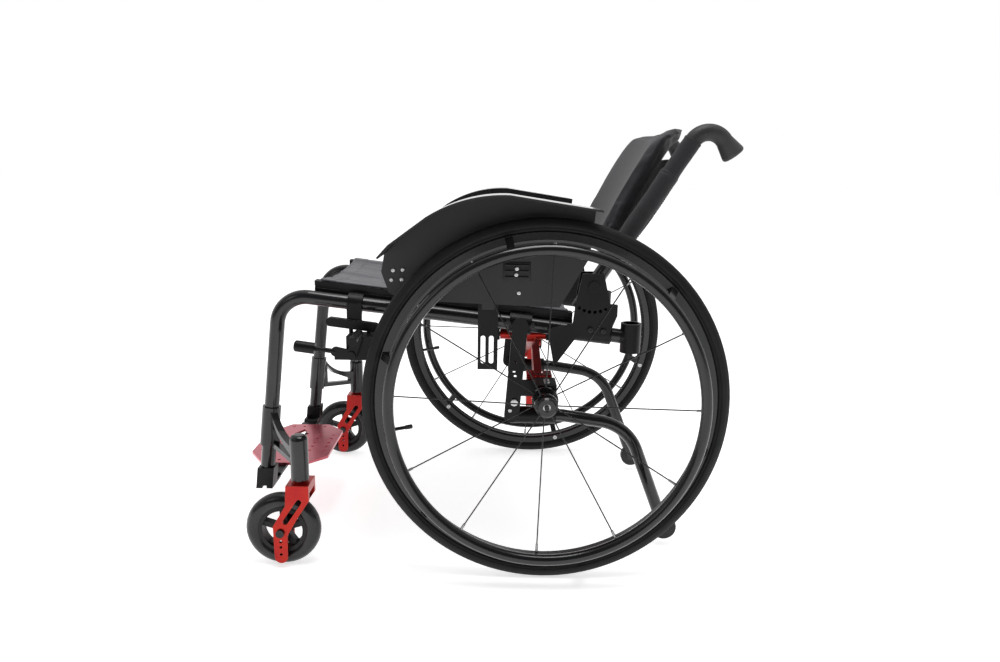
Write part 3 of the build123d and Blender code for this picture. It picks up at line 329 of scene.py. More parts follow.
def red_anodising(name, shade, gleam, rough, coat):
    """Red anodised aluminium with a painted orange highlight along its sharp edges."""
    finish = Finish(name, {"Coat Roughness": 0.12, "Metallic": 0.78, "Coat Weight": coat})
    grain = finish.noise(finish.place(), 1500.0, 2.0)
    cloud = finish.noise(finish.place(), 30.0)
    edges = sharp_edge_mask(finish, 0.0008, 0.14)
    tone = finish.colours(finish.ramp(cloud, 0.3, 0.7), shade, gleam)
    # Painted highlight: the sharp edges are tinted orange, as if they caught the light.
    finish.feed("Base Color", finish.colours(edges * 0.7, tone, painted_edge_highlight))
    finish.feed("Roughness", finish.ramp(cloud, 0.3, 0.7, rough - 0.04, rough + 0.06))
    finish.relief(grain, 0.00004, 0.4, 0.0007)
    return finish


fork_red = red_anodising("fork_red", (0.32, 0.004, 0.006, 1.0), (0.42, 0.014, 0.004, 1.0), 0.30, 0.2)
# The footplate's paler pink red is partly its own tone and partly a painted reflection of the white studio.
plate_red_painted_reflection = red_anodising("plate_red_painted_reflection", (0.52, 0.10, 0.13, 1.0), (0.60, 0.15, 0.19, 1.0), 0.34, 0.3)
dress(fork_red, "fork", "front_brace_arm", "rear_brace_arm", "brace_block")
dress(plate_red_painted_reflection, "footplate")

# ---- Fasteners ----------------------------------------------------------------------------------------
# Zinc-plated and black cap screws with a hexagon socket, turned and then stamped. They hold the clamps to
# the tubes, the guards to their brackets and the handrims to the rims.

SIDES = (("left", 1), ("right", -1))
BLUNT = {"affect": "EDGES", "segments": 2, "profile": 0.5, "material": -1, "offset_type": "OFFSET"}


def bare_metal(name, shade, rough):
    """Plated or polished metal with fine turning marks and dull spots."""
    finish = Finish(name, {"Metallic": 1.0})
    spots = finish.noise(finish.place(), 320.0)
    marks = finish.noise(finish.place(), 2400.0, 1.0)
    finish.feed("Base Color", finish.colours(spots, grey(shade), grey(shade * 0.72)))
    finish.feed("Roughness", finish.ramp(spots, 0.3, 0.7, rough, rough + 0.14))
    finish.relief(marks, 0.00003, 0.4)
    return finish


zinc = bare_metal("zinc", 0.62, 0.24)
black_zinc = bare_metal("black_zinc", 0.045, 0.34)
dress(zinc, "axle_pin")
dress(black_zinc, "caster_axle", "axle_button")


def raise_parts(mesh, parts, way):
    """Moves the points among some parts of a mesh, and returns them."""
    points = [part for part in parts if isinstance(part, bmesh.types.BMVert)]
    bmesh.ops.translate(mesh, verts=points, vec=way)
    return points


def screw_head(radius, height):
    """Mesh of a cap screw's head that stands on the origin and looks along +Z."""
    mesh = bmesh.new()
    bmesh.ops.create_circle(mesh, cap_ends=True, radius=radius, segments=24)
    crown = bmesh.ops.extrude_face_region(mesh, geom=mesh.faces[:])["geom"]
    raise_parts(mesh, crown, (0, 0, height))
    top = next(part for part in crown if isinstance(part, bmesh.types.BMFace))
    rim = bmesh.ops.bevel(mesh, geom=top.edges[:], offset=radius * 0.22, **BLUNT)["faces"]
    top = max((face for face in mesh.faces if face not in rim), key=lambda face: face.calc_center_median().z)
    bmesh.ops.inset_region(mesh, faces=[top], thickness=radius * 0.2)
    for point in top.verts:
        turn = atan2(point.co.y, point.co.x) % (pi / 3) - pi / 6
        reach = radius * 0.5 * cos(pi / 6) / cos(turn)
        point.co.xy = point.co.xy.normalized() * reach
    socket = bmesh.ops.extrude_face_region(mesh, geom=[top])["geom"]
    raise_parts(mesh, socket, (0, 0, -height * 0.6))
    bmesh.ops.delete(mesh, geom=[top], context="FACES_ONLY")
    data = bpy.data.meshes.new("screw_head")
    mesh.to_mesh(data)
    mesh.free()
    return data


def put(mesh, shape, place, way):
    """Adds a copy of a shape to a mesh, with its foot at a place and its axis along a way."""
    known = len(mesh.verts)
    mesh.from_mesh(shape)
    mesh.verts.ensure_lookup_table()
    turn = Vector(way).to_track_quat("Z", "Y").to_matrix().to_4x4()
    bmesh.ops.transform(mesh, matrix=Matrix.Translation(place) @ turn, verts=mesh.verts[known:])


def piece(mesh, name, finish, body, sharp=35.0, outward=True):
    """Ends a mesh as a piece of the chair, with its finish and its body."""
    if outward:
        bmesh.ops.recalc_face_normals(mesh, faces=mesh.faces)
    data = bpy.data.meshes.new(name)
    mesh.to_mesh(data)
    mesh.free()
    data.shade_smooth()
    data.set_sharp_from_angle(angle=radians(sharp))
    data.materials.append(finish.material)
    made = shown(name, data)
    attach(made, body)
    return made


joints = {joint["name"]: joint for joint in frame["joints"]}
axle = Vector(joints["left_wheel_spin"]["pos_m"])
SMALL_SCREW = screw_head(0.0034, 0.0022)
CLAMP_SCREW = screw_head(0.0048, 0.0036)
BIG_SCREW = screw_head(0.0068, 0.0042)


def chair_point(sign, x, y, z):
    """Point on one side of the chair, with Y from the rear axle, in millimetres."""
    return Vector((sign * x / 1000, axle.y + y / 1000, z / 1000))


def screws(name, finish, body, places):
    """A group of screws on each side: each a head, its point in millimetres and its way."""
    for side, sign in SIDES:
        mesh = bmesh.new()
        for head, x, y, z, way in places:
            put(mesh, head, chair_point(sign, x, y, z), (sign * way[0], way[1], way[2]))
        piece(mesh, f"{side}_{name}", finish, f"{side}_{body}")


OUT = (1, 0, 0)
UPWARD = (0, 0, 1)
guard_outside = 206.0
guard_corner = ((-254, 500), (-238, 501), (-257, 484), (-240, 485))
corner_screws = [(SMALL_SCREW, guard_outside, y, z, OUT) for y, z in guard_corner]
screws("guard_corner_screws", zinc, "guard", corner_screws)
screws("axle_bar_bolts", zinc, "frame", [
    (BIG_SCREW, 197.0, -49, 272, OUT),
    (SMALL_SCREW, 197.0, -56, 257, OUT),
    (CLAMP_SCREW, 221.0, 4, 317.2, UPWARD),
    (CLAMP_SCREW, 234.0, 4, 317.2, UPWARD),
])
screws("saddle_screws", black_zinc, "frame", [
    (CLAMP_SCREW, 194.0, -62, 412, OUT),
    (CLAMP_SCREW, 194.0, -20, 407, OUT),
    (CLAMP_SCREW, 196.0, 78, 402, OUT),
    (CLAMP_SCREW, 196.0, 100, 400, OUT),
])

# ---- Rear tyres ---------------------------------------------------------------------------------------
# Narrow high-pressure tyres of black rubber, moulded with a fine file tread between grooves. The beads
# are seated in the rims.

tyre_low, tyre_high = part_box("left_tyre")
tyre_half = 0.0125
tyre_ring = (tyre_high.y - tyre_low.y) / 2 - tyre_half
camber = atan2(joints["left_wheel_spin"]["axis"][2], joints["left_wheel_spin"]["axis"][0])


def wheel_ways(sign):
    """The wheel's centre, its way outward, and its way up in its own plane."""
    centre = Vector((sign * axle.x, axle.y, axle.z))
    outward = Vector((sign * cos(camber), 0, sin(camber)))
    upward = Vector((-sign * sin(camber), 0, cos(camber)))
    return centre, outward, upward


def wheel_point(sign, angle, radius, offset):
    """Point of a wheel: an angle from the rear upwards in degrees, a radius, and a way outward."""
    centre, outward, upward = wheel_ways(sign)
    spoke = Vector((0, 1, 0)) * cos(radians(angle)) + upward * sin(radians(angle))
    return centre + spoke * radius + outward * offset


def wheel_place(finish, sign):
    """Place on a wheel, turned so that X runs along its axle and the origin is its centre."""
    sockets = {
        "Vector": finish.place(),
        "Location": (sign * axle.x, axle.y, axle.z),
        "Rotation": (0, -sign * camber, 0),
    }
    return finish.node("ShaderNodeMapping", {"vector_type": "TEXTURE"}, sockets)


def around_wheel(finish, sign):
    """Across, radius and angle of a point on a wheel."""
    local = wheel_place(finish, sign)
    side_y = finish.part(local, "Y")
    side_z = finish.part(local, "Z")
    radius = (side_y * side_y + side_z * side_z) ** 0.5
    return finish.part(local, "X"), radius, finish.maths("ARCTAN2", side_z, side_y)


tread_start = 0.2925
tread_ribs = 420.0
tread_dust = (0.03, 0.028, 0.027, 1.0)


def tyre_rubber(side, sign):
    """Rubber with a file tread, dusty where it meets the ground."""
    finish = Finish(f"{side}_tyre_rubber", {"Specular IOR Level": 0.25})
    across, radius, angle = around_wheel(finish, sign)
    tread = finish.ramp(radius, tread_start, tread_start + 0.002)
    slant = finish.maths("ABSOLUTE", across) * 1100.0
    ribs = finish.maths("SINE", angle * tread_ribs + slant)
    dust = finish.noise(finish.place(), 48.0, 5.0)
    dusty = tread * finish.ramp(dust, 0.42, 0.75)
    pores = finish.noise(finish.place(), 2200.0, 2.0)
    finish.feed("Base Color", finish.colours(dusty * 0.5, grey(0.008, 1.06), tread_dust))
    finish.feed("Roughness", finish.ramp(dust, 0.3, 0.7, 0.46, 0.6) + tread * 0.12)
    finish.relief(ribs * tread + pores * 0.25, 0.00016, 0.6)
    return finish


tyre_grooves = (9, 24, 39)
tyre_step = 6
tyre_turns = 132
groove_depth = 0.0009
groove_half = 1.3
groove_slope = 0.4
shoulder = 54
shoulder_half = 2.5
shoulder_depth = 0.0005
bead_line = 109
bead_half = 3
bead_depth = 0.0006


def spin_round(mesh, parts, centre, way, steps):
    """Spins a profile once round an axis, and closes it."""
    bmesh.ops.spin(mesh, geom=parts, cent=centre, axis=way, angle=2 * pi, steps=steps, use_merge=True)
    bmesh.ops.remove_doubles(mesh, verts=mesh.verts, dist=1e-6)


for side, sign in SIDES:
    centre, outward, upward = wheel_ways(sign)
    section = [(angle, tyre_half) for angle in range(-180 + tyre_step, 180, tyre_step)]
    for way in (-1, 1):
        for groove in tyre_grooves:
            for edge in (-1, 1):
                lip = way * groove + edge * (groove_half + groove_slope)
                foot = way * groove + edge * (groove_half - groove_slope)
                section += [(lip, tyre_half), (foot, tyre_half - groove_depth)]
        section += [(way * (shoulder + edge * shoulder_half), tyre_half) for edge in (-1, 1)]
        section += [(way * shoulder, tyre_half - shoulder_depth), (way * bead_line, tyre_half)]
        section += [(way * (bead_line + edge * bead_half), tyre_half - bead_depth) for edge in (-1, 1)]
    mesh = bmesh.new()
    points = []
    for angle, reach in sorted(set(section)):
        radius = tyre_ring + reach * cos(radians(angle))
        points.append(mesh.verts.new(centre + upward * radius + outward * reach * sin(radians(angle))))
    edges = [mesh.edges.new((first, second)) for first, second in zip(points, points[1:] + points[:1])]
    spin_round(mesh, points + edges, centre, outward, tyre_turns)
    tyre = piece(mesh, f"{side}_road_tyre", tyre_rubber(side, sign), f"{side}_wheel", 80.0)
    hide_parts(f"{side}_tyre")

# ---- Rims, spokes, hubs and handrims -------------------------------------------------------------------
# Extruded aluminium hoops, straight-pull spokes and turned hubs, all anodised black and polished. The
# spokes are screwed into plated nipples, and each handrim tab is held to the rim by a small screw.


turning_lines = 900.0


def wheel_metal(side, sign):
    """Polished black anodising with fine turning lines round the axle."""
    finish = Finish(f"{side}_wheel_metal", {"Coat Roughness": 0.05, "Coat Weight": 0.3})
    across, radius, angle = around_wheel(finish, sign)
    turned = {0: across * turning_lines, 1: radius * turning_lines, 2: angle}
    lines = finish.noise(finish.node("ShaderNodeCombineXYZ", {}, turned), 1.0, 2.0)
    smears = finish.noise(finish.place(), 18.0)
    finish.feed("Base Color", finish.colours(lines, grey(0.010, 1.1), grey(0.022, 1.1)))
    finish.feed("Metallic", finish.ramp(lines, 0.3, 0.7, 0.35, 0.6))
    finish.feed("Roughness", finish.ramp(smears, 0.3, 0.7, 0.17, 0.28))
    finish.relief(lines, 0.00003, 0.35, 0.0006)
    return finish


nipple_start = 0.2438


def spoke_metal(side, sign):
    """Black steel wire with a plated nipple at its rim end."""
    finish = Finish(f"{side}_spoke_metal", {"Metallic": 0.9})
    radius = around_wheel(finish, sign)[1]
    nipple = finish.ramp(radius, nipple_start, nipple_start + 0.0006)
    scratches = finish.noise(finish.place(), 700.0)
    finish.feed("Base Color", finish.colours(nipple, grey(0.03), grey(0.34)))
    finish.feed("Roughness", finish.ramp(scratches, 0.3, 0.7, 0.22, 0.34))
    finish.relief(scratches, 0.00003, 0.4)
    return finish


tab_angle = -16.3
tab_count = 6
tab_radius = 0.2675
tab_inset = 0.0112

for side, sign in SIDES:
    metal = wheel_metal(side, sign)
    for name in ("rim", "hub", "handrim"):
        frame["nodes"][f"{side}_{name}"].material_slots[0].material = metal.material
    spokes = frame["nodes"][f"{side}_spokes"]
    spokes.material_slots[0].material = spoke_metal(side, sign).material
    mesh = bmesh.new()
    outward = wheel_ways(sign)[1]
    for number in range(tab_count):
        angle = tab_angle + number * 360 / tab_count
        put(mesh, CLAMP_SCREW, wheel_point(sign, angle, tab_radius, -tab_inset), -outward)
    piece(mesh, f"{side}_handrim_screws", zinc, f"{side}_wheel")

# ---- Valve caps ---------------------------------------------------------------------------------------
# Small ribbed caps of moulded black nylon, which keep dirt out of the valves. They are screwed on the
# valves that stand inwards from the rims.

cap_finish = Finish("cap_nylon", {"Specular IOR Level": 0.4})
cap_specks = cap_finish.noise(cap_finish.place(), 900.0)
cap_finish.feed("Base Color", cap_finish.colours(cap_specks, grey(0.012), grey(0.026)))
cap_finish.feed("Roughness", cap_finish.ramp(cap_specks, 0.3, 0.7, 0.4, 0.55))
cap_finish.relief(cap_specks, 0.00004, 0.4)

cap_profile = ((0.0, 0.0), (0.0026, 0.0002), (0.0036, 0.0012), (0.0041, 0.003), (0.0041, 0.0115),
               (0.0032, 0.0125))
cap_rib_from = 0.0039
cap_rib_depth = 0.00045
cap_turns = 24
valve_angle = 191.0
valve_end = 0.2195

for side, sign in SIDES:
    mesh = bmesh.new()
    foot = wheel_point(sign, valve_angle, valve_end, 0.0)
    way = (wheel_point(sign, valve_angle, 0.25, 0.0) - foot).normalized()
    outward = wheel_ways(sign)[1]
    points = [mesh.verts.new(foot + outward * reach + way * rise) for reach, rise in cap_profile]
    edges = [mesh.edges.new(pair) for pair in zip(points, points[1:])]
    spin_round(mesh, points + edges, foot, way, cap_turns)
    for point in mesh.verts:
        radial = (point.co - foot) - way * (point.co - foot).dot(way)
        turn = atan2(radial.dot(Vector((0, 1, 0)).cross(way)), radial.dot(outward))
        if radial.length > cap_rib_from and round(turn / (2 * pi / cap_turns)) % 2:
            point.co -= radial.normalized() * cap_rib_depth
    loose = [edge for edge in mesh.edges if edge.is_boundary]
    bmesh.ops.holes_fill(mesh, edges=loose, sides=0)
    piece(mesh, f"{side}_valve_cap", cap_finish, f"{side}_wheel")

# ---- Casters ------------------------------------------------------------------------------------------
# Solid, semi-gloss polyurethane tyres, cast on spoked cores of moulded black nylon. Each turns on a bolt
# through its fork.

urethane = Finish("urethane", {"Specular IOR Level": 0.3, "Coat Roughness": 0.2})
scuffs = urethane.noise(urethane.place(), 90.0, 5.0)
film = urethane.noise(urethane.place(), 26.0)
urethane.feed("Base Color", urethane.colours(urethane.ramp(scuffs, 0.5, 0.8), grey(0.008, 1.15), grey(0.02)))
urethane.feed("Roughness", urethane.ramp(scuffs, 0.35, 0.7, 0.2, 0.42))
urethane.feed("Coat Weight", urethane.ramp(film, 0.3, 0.7, 0.35, 0.15))
urethane.relief(scuffs, 0.00006, 0.3)
dress(urethane, "caster_tyre")


def moulded(name, shade, rough, scale, depth, edge=0.0006):
    """Moulded black plastic with a spark-eroded grain and pale scuffs."""
    finish = Finish(name, {"Specular IOR Level": 0.28})
    grain = finish.cells(finish.place(), scale)
    scuff = finish.noise(finish.place(), 60.0, 6.0)
    scuffed = finish.ramp(scuff, 0.56, 0.78)
    finish.feed("Base Color", finish.colours(scuffed, grey(shade, 1.1), grey(shade * 2.4, 1.05)))
    finish.feed("Roughness", finish.ramp(scuff, 0.3, 0.7, rough - 0.05, rough + 0.08))
    finish.relief(grain, depth, 0.5, edge)
    return finish


core_nylon = moulded("core_nylon", 0.008, 0.42, 1500.0, 0.00006)
dress(core_nylon, "caster_core")

# ---- Push grips and anti-tip rollers -------------------------------------------------------------------
# Soft black rubber, pushed over the cane ends. Hands have rubbed the flared ends matt and grey.

grip_rubber = Finish("grip_rubber", {"Specular IOR Level": 0.42})
grip_low, grip_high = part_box("left_push_grip")
grip_clean = 0.035
rubbed = grip_rubber.ramp(grip_rubber.part(grip_rubber.place(), "Y"), grip_low.y + grip_clean, grip_high.y)
blotches = grip_rubber.noise(grip_rubber.place(), 70.0, 5.0)
pebbles = grip_rubber.cells(grip_rubber.place(), 1200.0)
grip_rubber.feed("Base Color", grip_rubber.colours(rubbed * (0.6 + blotches * 0.4), grey(0.018), grey(0.06)))
grip_rubber.feed("Roughness", grip_rubber.ramp(blotches, 0.3, 0.7, 0.5, 0.64))
grip_rubber.relief(pebbles, 0.0001, 0.5)
dress(grip_rubber, "push_grip", "antitip_wheel")

# ---- Side guards --------------------------------------------------------------------------------------
# Vacuum-formed black panels with a wide flange over each wheel, glossy on top. A ribbed catch is screwed
# to each, and lets it be lifted off its bracket.

guard_plastic = Finish("guard_plastic", {"Specular IOR Level": 0.42, "Coat Roughness": 0.08})
guard_face = guard_plastic.node("ShaderNodeNewGeometry", {}, {}, "Normal")
gloss = guard_plastic.ramp(guard_plastic.part(guard_face, "Z"), 0.3, 0.8)
guard_haze = guard_plastic.noise(guard_plastic.place(), 24.0, 4.0)
guard_grain = guard_plastic.noise(guard_plastic.place(), 1300.0, 2.0)
guard_plastic.feed("Base Color", guard_plastic.colours(guard_haze, grey(0.007, 1.2), grey(0.014, 1.15)))
guard_plastic.feed("Roughness", guard_plastic.ramp(guard_haze, 0.3, 0.7, 0.36, 0.46) - gloss * 0.2)
guard_plastic.feed("Coat Weight", gloss * 0.9 + 0.05)
guard_plastic.relief(guard_grain, 0.00005, 0.35, 0.0008)
dress(guard_plastic, "side_guard")

catch_rear = -26.0
catch_front = -72.0
catch_thickness = 2.0
catch_bars = (490.0, 500.0, 510.0)
catch_bar_height = 3.2
catch_bar_rise = 2.5
catch_bar_inset = 3
catch_plastic = moulded("catch_plastic", 0.016, 0.45, 1300.0, 0.00006)


def bar(mesh, low, high, blunt):
    """A block between two corners, with blunted edges."""
    cube = bmesh.ops.create_cube(mesh, size=1.0)["verts"]
    size = [abs(far - near) for near, far in zip(low, high)]
    middle = [(far + near) / 2 for near, far in zip(low, high)]
    bmesh.ops.scale(mesh, vec=size, verts=cube)
    bmesh.ops.translate(mesh, vec=middle, verts=cube)
    edges = list({edge for point in cube for edge in point.link_edges})
    bmesh.ops.bevel(mesh, geom=edges, offset=blunt, **BLUNT)


for side, sign in SIDES:
    mesh = bmesh.new()
    plate_low = chair_point(sign, guard_outside, catch_front, catch_bars[0] - 5)
    plate_high = chair_point(sign, guard_outside + catch_thickness, catch_rear, catch_bars[-1] + 7)
    bar(mesh, plate_low, plate_high, 0.0008)
    for height in catch_bars:
        sunk = guard_outside + catch_thickness - 0.5
        top = guard_outside + catch_thickness + catch_bar_rise
        bar_low = chair_point(sign, sunk, catch_front + catch_bar_inset, height)
        bar_high = chair_point(sign, top, catch_rear - catch_bar_inset, height + catch_bar_height)
        bar(mesh, bar_low, bar_high, 0.0009)
    piece(mesh, f"{side}_guard_catch", catch_plastic, f"{side}_guard")
catch_screw_face = guard_outside + 3.6
screws("guard_catch_screws", zinc, "guard", [
    (SMALL_SCREW, catch_screw_face, -49, 506, OUT),
    (SMALL_SCREW, catch_screw_face, -50, 496, OUT),
    (SMALL_SCREW, guard_outside, -45, 465, OUT),
])

# ---- Seat upholstery ----------------------------------------------------------------------------------
# One sling of grey coated nylon between the seat rails. It sags a little, keeps soft creases from folding,
# and has a turned hem in front and a row of stitches beside each rail.

sling_low, sling_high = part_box("seat_sling")
sling_half = sling_high.x
sling_cloth = 0.0024
sling_drop = 0.003
sling_slope = (sling_high.z - sling_low.z - sling_drop) / (sling_high.y - sling_low.y)
rail_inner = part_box("left_seat_rail")[0].x + 0.002
sling_sag = 0.013
crease_height = 0.0016
crease_half = 0.006
ripple_height = 0.0030
pull_height = 0.0012
hem_width = 0.028
hem_rise = 0.0007
sling_columns = 96
sling_rows = 120


def seat_height(x, y):
    """Height of the seat cloth's under side."""
    along = (y - sling_low.y) / (sling_high.y - sling_low.y)
    inward = max(0.0, 1.0 - abs(x) / rail_inner)
    rounded = 1.0 - (1.0 - min(1.0, inward * 1.15)) ** 2.2
    height = sling_high.z - sling_drop - (y - sling_low.y) * sling_slope + 0.0004
    height -= sling_sag * rounded * (0.75 + 0.5 * sin(pi * min(1.0, along * 1.2)))
    free = min(1.0, inward * 5.0)
    crease = exp(-((x - 0.012 * sin(y * 9)) / crease_half) ** 2)
    height += crease_height * crease * free
    ripple = noise.noise(Vector((x * 26, y * 7 + 3, 1.7))) + 0.5 * noise.noise(Vector((x * 60, y * 16, 5.1)))
    height += ripple_height * ripple * free
    pull = noise.noise(Vector((x * 8, y * 34, 9.4)))
    height += pull_height * pull * free * exp(-inward * 2)
    if y - sling_low.y < hem_width:
        height += hem_rise
    return height


def nylon(name, shade, pale, weave_scale, depth, rough):
    """Woven nylon: a plain weave along X and Y, with worn folds."""
    finish = Finish(name, {"Sheen Weight": 0.15, "Sheen Roughness": 0.4, "Specular IOR Level": 0.4})
    place = finish.place()
    warp = finish.maths("SINE", finish.part(place, "X") * weave_scale)
    weft = finish.maths("SINE", finish.part(place, "Y") * weave_scale)
    threads = finish.maths("ABSOLUTE", warp) * 0.5 + finish.maths("ABSOLUTE", weft) * 0.5
    worn = finish.noise(place, 34.0, 5.0)
    mottle = finish.noise(place, 9.0)
    tone = finish.colours(finish.ramp(mottle, 0.35, 0.65), shade, pale)
    finish.feed("Base Color", finish.colours(finish.ramp(worn, 0.45, 0.8) * 0.35, tone, grey(0.2, 1.08)))
    finish.feed("Roughness", finish.ramp(worn, 0.3, 0.7, rough - 0.06, rough + 0.1))
    finish.relief(threads + worn * 0.4, depth, 0.6)
    return finish


seat_nylon = nylon("seat_nylon", grey(0.075, 1.14), grey(0.10, 1.12), 5200.0, 0.00012, 0.46)


def cloth_grid(half_x, low_y, high_y, columns, rows, height):
    """A sheet over an area, each of its points at a height."""
    mesh = bmesh.new()
    bmesh.ops.create_grid(mesh, x_segments=columns, y_segments=rows, size=1.0)
    for point in mesh.verts:
        x = point.co.x * half_x
        y = low_y + (point.co.y + 1) / 2 * (high_y - low_y)
        point.co = (x, y, height(x, y))
    return mesh


def stiffen(sheet, thickness, offset=1.0):
    """Gives a sheet its thickness."""
    solid = sheet.modifiers.new("thickness", "SOLIDIFY")
    solid.thickness = thickness
    solid.offset = offset


mesh = cloth_grid(sling_half, sling_low.y, sling_high.y, sling_columns, sling_rows, seat_height)
seat = piece(mesh, "seat_upholstery", seat_nylon, "right_rail", 180.0, False)
stiffen(seat, sling_cloth)
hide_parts("seat_sling")

thread = Finish("polyester_thread", {"Sheen Weight": 0.3})
thread_twist = thread.noise(thread.place(), 1800.0)
thread.feed("Base Color", thread.colours(thread_twist, grey(0.05), grey(0.16)))
thread.feed("Roughness", thread.ramp(thread_twist, 0.3, 0.7, 0.5, 0.7))
thread.relief(thread_twist, 0.0001, 0.5)
stitch_pitch = 0.0042
stitch_length = 0.0030
stitch_radius = 0.00035


def stitches(mesh, route):
    """Lays stitches along a route of close points."""
    left = 0.0
    for start, end in zip(route, route[1:]):
        run = end - start
        while left < run.length:
            spot = start + run * (left / run.length)
            turn = run.to_track_quat("Z", "Y").to_matrix().to_4x4()
            matrix = Matrix.Translation(spot) @ turn
            bmesh.ops.create_cone(mesh, cap_ends=True, segments=6, radius1=stitch_radius,
                                  radius2=stitch_radius, depth=stitch_length, matrix=matrix)
            left += stitch_pitch
        left -= run.length


def seat_route(points):
    """A stitch line on the seat cloth through points of X and Y."""
    return [Vector((x, y, seat_height(x, y) + sling_cloth + stitch_radius * 0.5)) for x, y in points]


mesh = bmesh.new()
seam_steps = [step / 60 for step in range(61)]
seam_end = 0.004
seam_pitch = 0.006
seam_length = sling_high.y - sling_low.y - 2 * seam_end
hem_length = 2 * sling_half - 0.006
for sign in (-1, 1):
    for inset in (0.0, seam_pitch):
        edge = sign * (rail_inner - seam_end - inset)
        rows = [sling_low.y + seam_end + seam_length * share for share in seam_steps]
        stitches(mesh, seat_route([(edge, y) for y in rows]))
for hem_line in (seam_end, hem_width - 0.003):
    y = sling_low.y + hem_line
    stitches(mesh, seat_route([(hem_length * (share - 0.5), y) for share in seam_steps]))
seat_thread = piece(mesh, "seat_stitching", thread, "right_rail", 60.0)

# ---- Back upholstery ----------------------------------------------------------------------------------
# A padded cover of dark grey knitted cloth between the back canes. It is sewn to a sleeve round each cane,
# and webbing straps with hook-and-loop ends cross the slack panel behind it.

back_pivot = Vector(joints["left_back_fold"]["pos_m"])
recline = radians(32.6)
pad_half = 0.156
pad_low = 0.055
pad_high = 0.305
pad_depth = 0.022
pad_sag = 0.016


def back_point(x, rise, forward):
    """Point of the back: so far up along the canes, and so far in front of them."""
    along = Vector((0, sin(recline), cos(recline)))
    ahead_of = Vector((0, -cos(recline), sin(recline)))
    return Vector((x, back_pivot.y, back_pivot.z)) + along * rise + ahead_of * forward


def knit(name, shade, pale, scale, sheen):
    """Knitted spacer cloth: small cells in rows, with painted shade in the sunken gaps between them, brushed
    pale where it is rubbed.
    """
    finish = Finish(name, {"Sheen Weight": sheen, "Sheen Roughness": 0.45, "Specular IOR Level": 0.3})
    place = finish.place()
    cells = finish.cells(place, scale, 0.35)
    lint = finish.noise(place, 420.0, 4.0)
    rubbed_parts = finish.noise(place, 16.0, 4.0)
    tone = finish.colours(finish.ramp(rubbed_parts, 0.35, 0.7), shade, pale)
    # Painted shade: the gaps between the cells, where the relief sinks, are darkened.
    finish.feed("Base Color", finish.colours(finish.ramp(cells, 0.1, 0.55), tone, grey(0.02, 1.1)))
    finish.feed("Roughness", finish.ramp(lint, 0.3, 0.7, 0.68, 0.86))
    finish.relief(lint * 0.5 - cells, 0.0003, 0.5)
    return finish


pad_knit = knit("pad_knit", grey(0.036, 1.22), grey(0.054, 1.2), 520.0, 0.15)
cover_cloth = knit("cover_cloth", grey(0.018, 1.2), grey(0.028, 1.2), 700.0, 0.12)


def pad_front(share):
    """How far the pad's front stands before the canes, from its foot to its top."""
    rounded_top = max(0.0, share - 0.84) / 0.16
    return 0.036 + 0.013 * sin(pi * min(1.0, share * 0.62)) ** 1.3 - 0.020 * rounded_top ** 2


def pad_mesh():
    """Crowned, closed shape of the pad, with its corners rounded."""
    mesh = bmesh.new()
    bmesh.ops.create_cube(mesh, size=2.0)
    bmesh.ops.subdivide_edges(mesh, edges=mesh.edges[:], cuts=15, use_grid_fill=True)
    for point in mesh.verts:
        a, b, c = point.co
        corner = max(0.0, abs(a) - 0.55) / 0.45, max(0.0, abs(c) - 0.62) / 0.38
        squeeze = 1.0 - 0.09 * corner[0] ** 2 * corner[1] ** 2
        x = a * pad_half * squeeze * (1.0 - 0.012 * cos(pi * c))
        share = (c + 1) / 2
        rise = pad_low + (pad_high - pad_low) * share
        rise -= 0.020 * corner[0] ** 2 * (1 if c > 0 else -1) * abs(c) ** 6
        edge_thin = (1.0 - 0.45 * abs(a) ** 9) * (1.0 - 0.7 * abs(c) ** 9)
        front = pad_front(share) - pad_sag * (1.0 - a * a)
        forward = front - pad_depth / 2 - b * pad_depth / 2 * edge_thin
        point.co = back_point(x, rise, forward)
    return mesh


swell_voxel = 0.005
swell_frames = 20


def swell(pad, pressure, reach):
    """Puffs a pad up as cloth under pressure, and lets no point move further than reach."""
    scene = bpy.context.scene
    remesh = pad.modifiers.new("even", "REMESH")
    remesh.mode = "VOXEL"
    remesh.voxel_size = swell_voxel
    even = bpy.data.meshes.new_from_object(pad.evaluated_get(bpy.context.evaluated_depsgraph_get()))
    pad.modifiers.clear()
    pad.data = even
    start = [point.co.copy() for point in even.vertices]
    cloth = pad.modifiers.new("swell", "CLOTH")
    cloth.settings.use_pressure = True
    cloth.settings.uniform_pressure_force = pressure
    cloth.settings.effector_weights.gravity = 0.0
    cloth.settings.tension_stiffness = 12.0
    cloth.settings.bending_stiffness = 0.4
    cloth.settings.quality = 5
    cloth.point_cache.frame_start = 1
    cloth.point_cache.frame_end = swell_frames
    for number in range(1, swell_frames + 1):
        scene.frame_set(number)
    swollen = bpy.data.meshes.new_from_object(pad.evaluated_get(bpy.context.evaluated_depsgraph_get()))
    pad.modifiers.clear()
    for point, old in zip(swollen.vertices, start):
        move = point.co - old
        if move.length > reach:
            point.co = old + move.normalized() * reach
    pad.data = swollen
    scene.frame_set(1)


mesh = pad_mesh()
bmesh.ops.recalc_face_normals(mesh, faces=mesh.faces)
pad_data = bpy.data.meshes.new("back_pad")
mesh.to_mesh(pad_data)
mesh.free()
back_pad = shown("back_pad", pad_data)
swell(back_pad, 3.0, 0.006)
back_pad.data.materials.clear()
back_pad.data.materials.append(pad_knit.material)
back_pad.data.shade_smooth()
softer = back_pad.modifiers.new("softer", "SUBSURF")
softer.levels = 1
softer.render_levels = 1
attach(back_pad, "right_back")
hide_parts("back_sling")

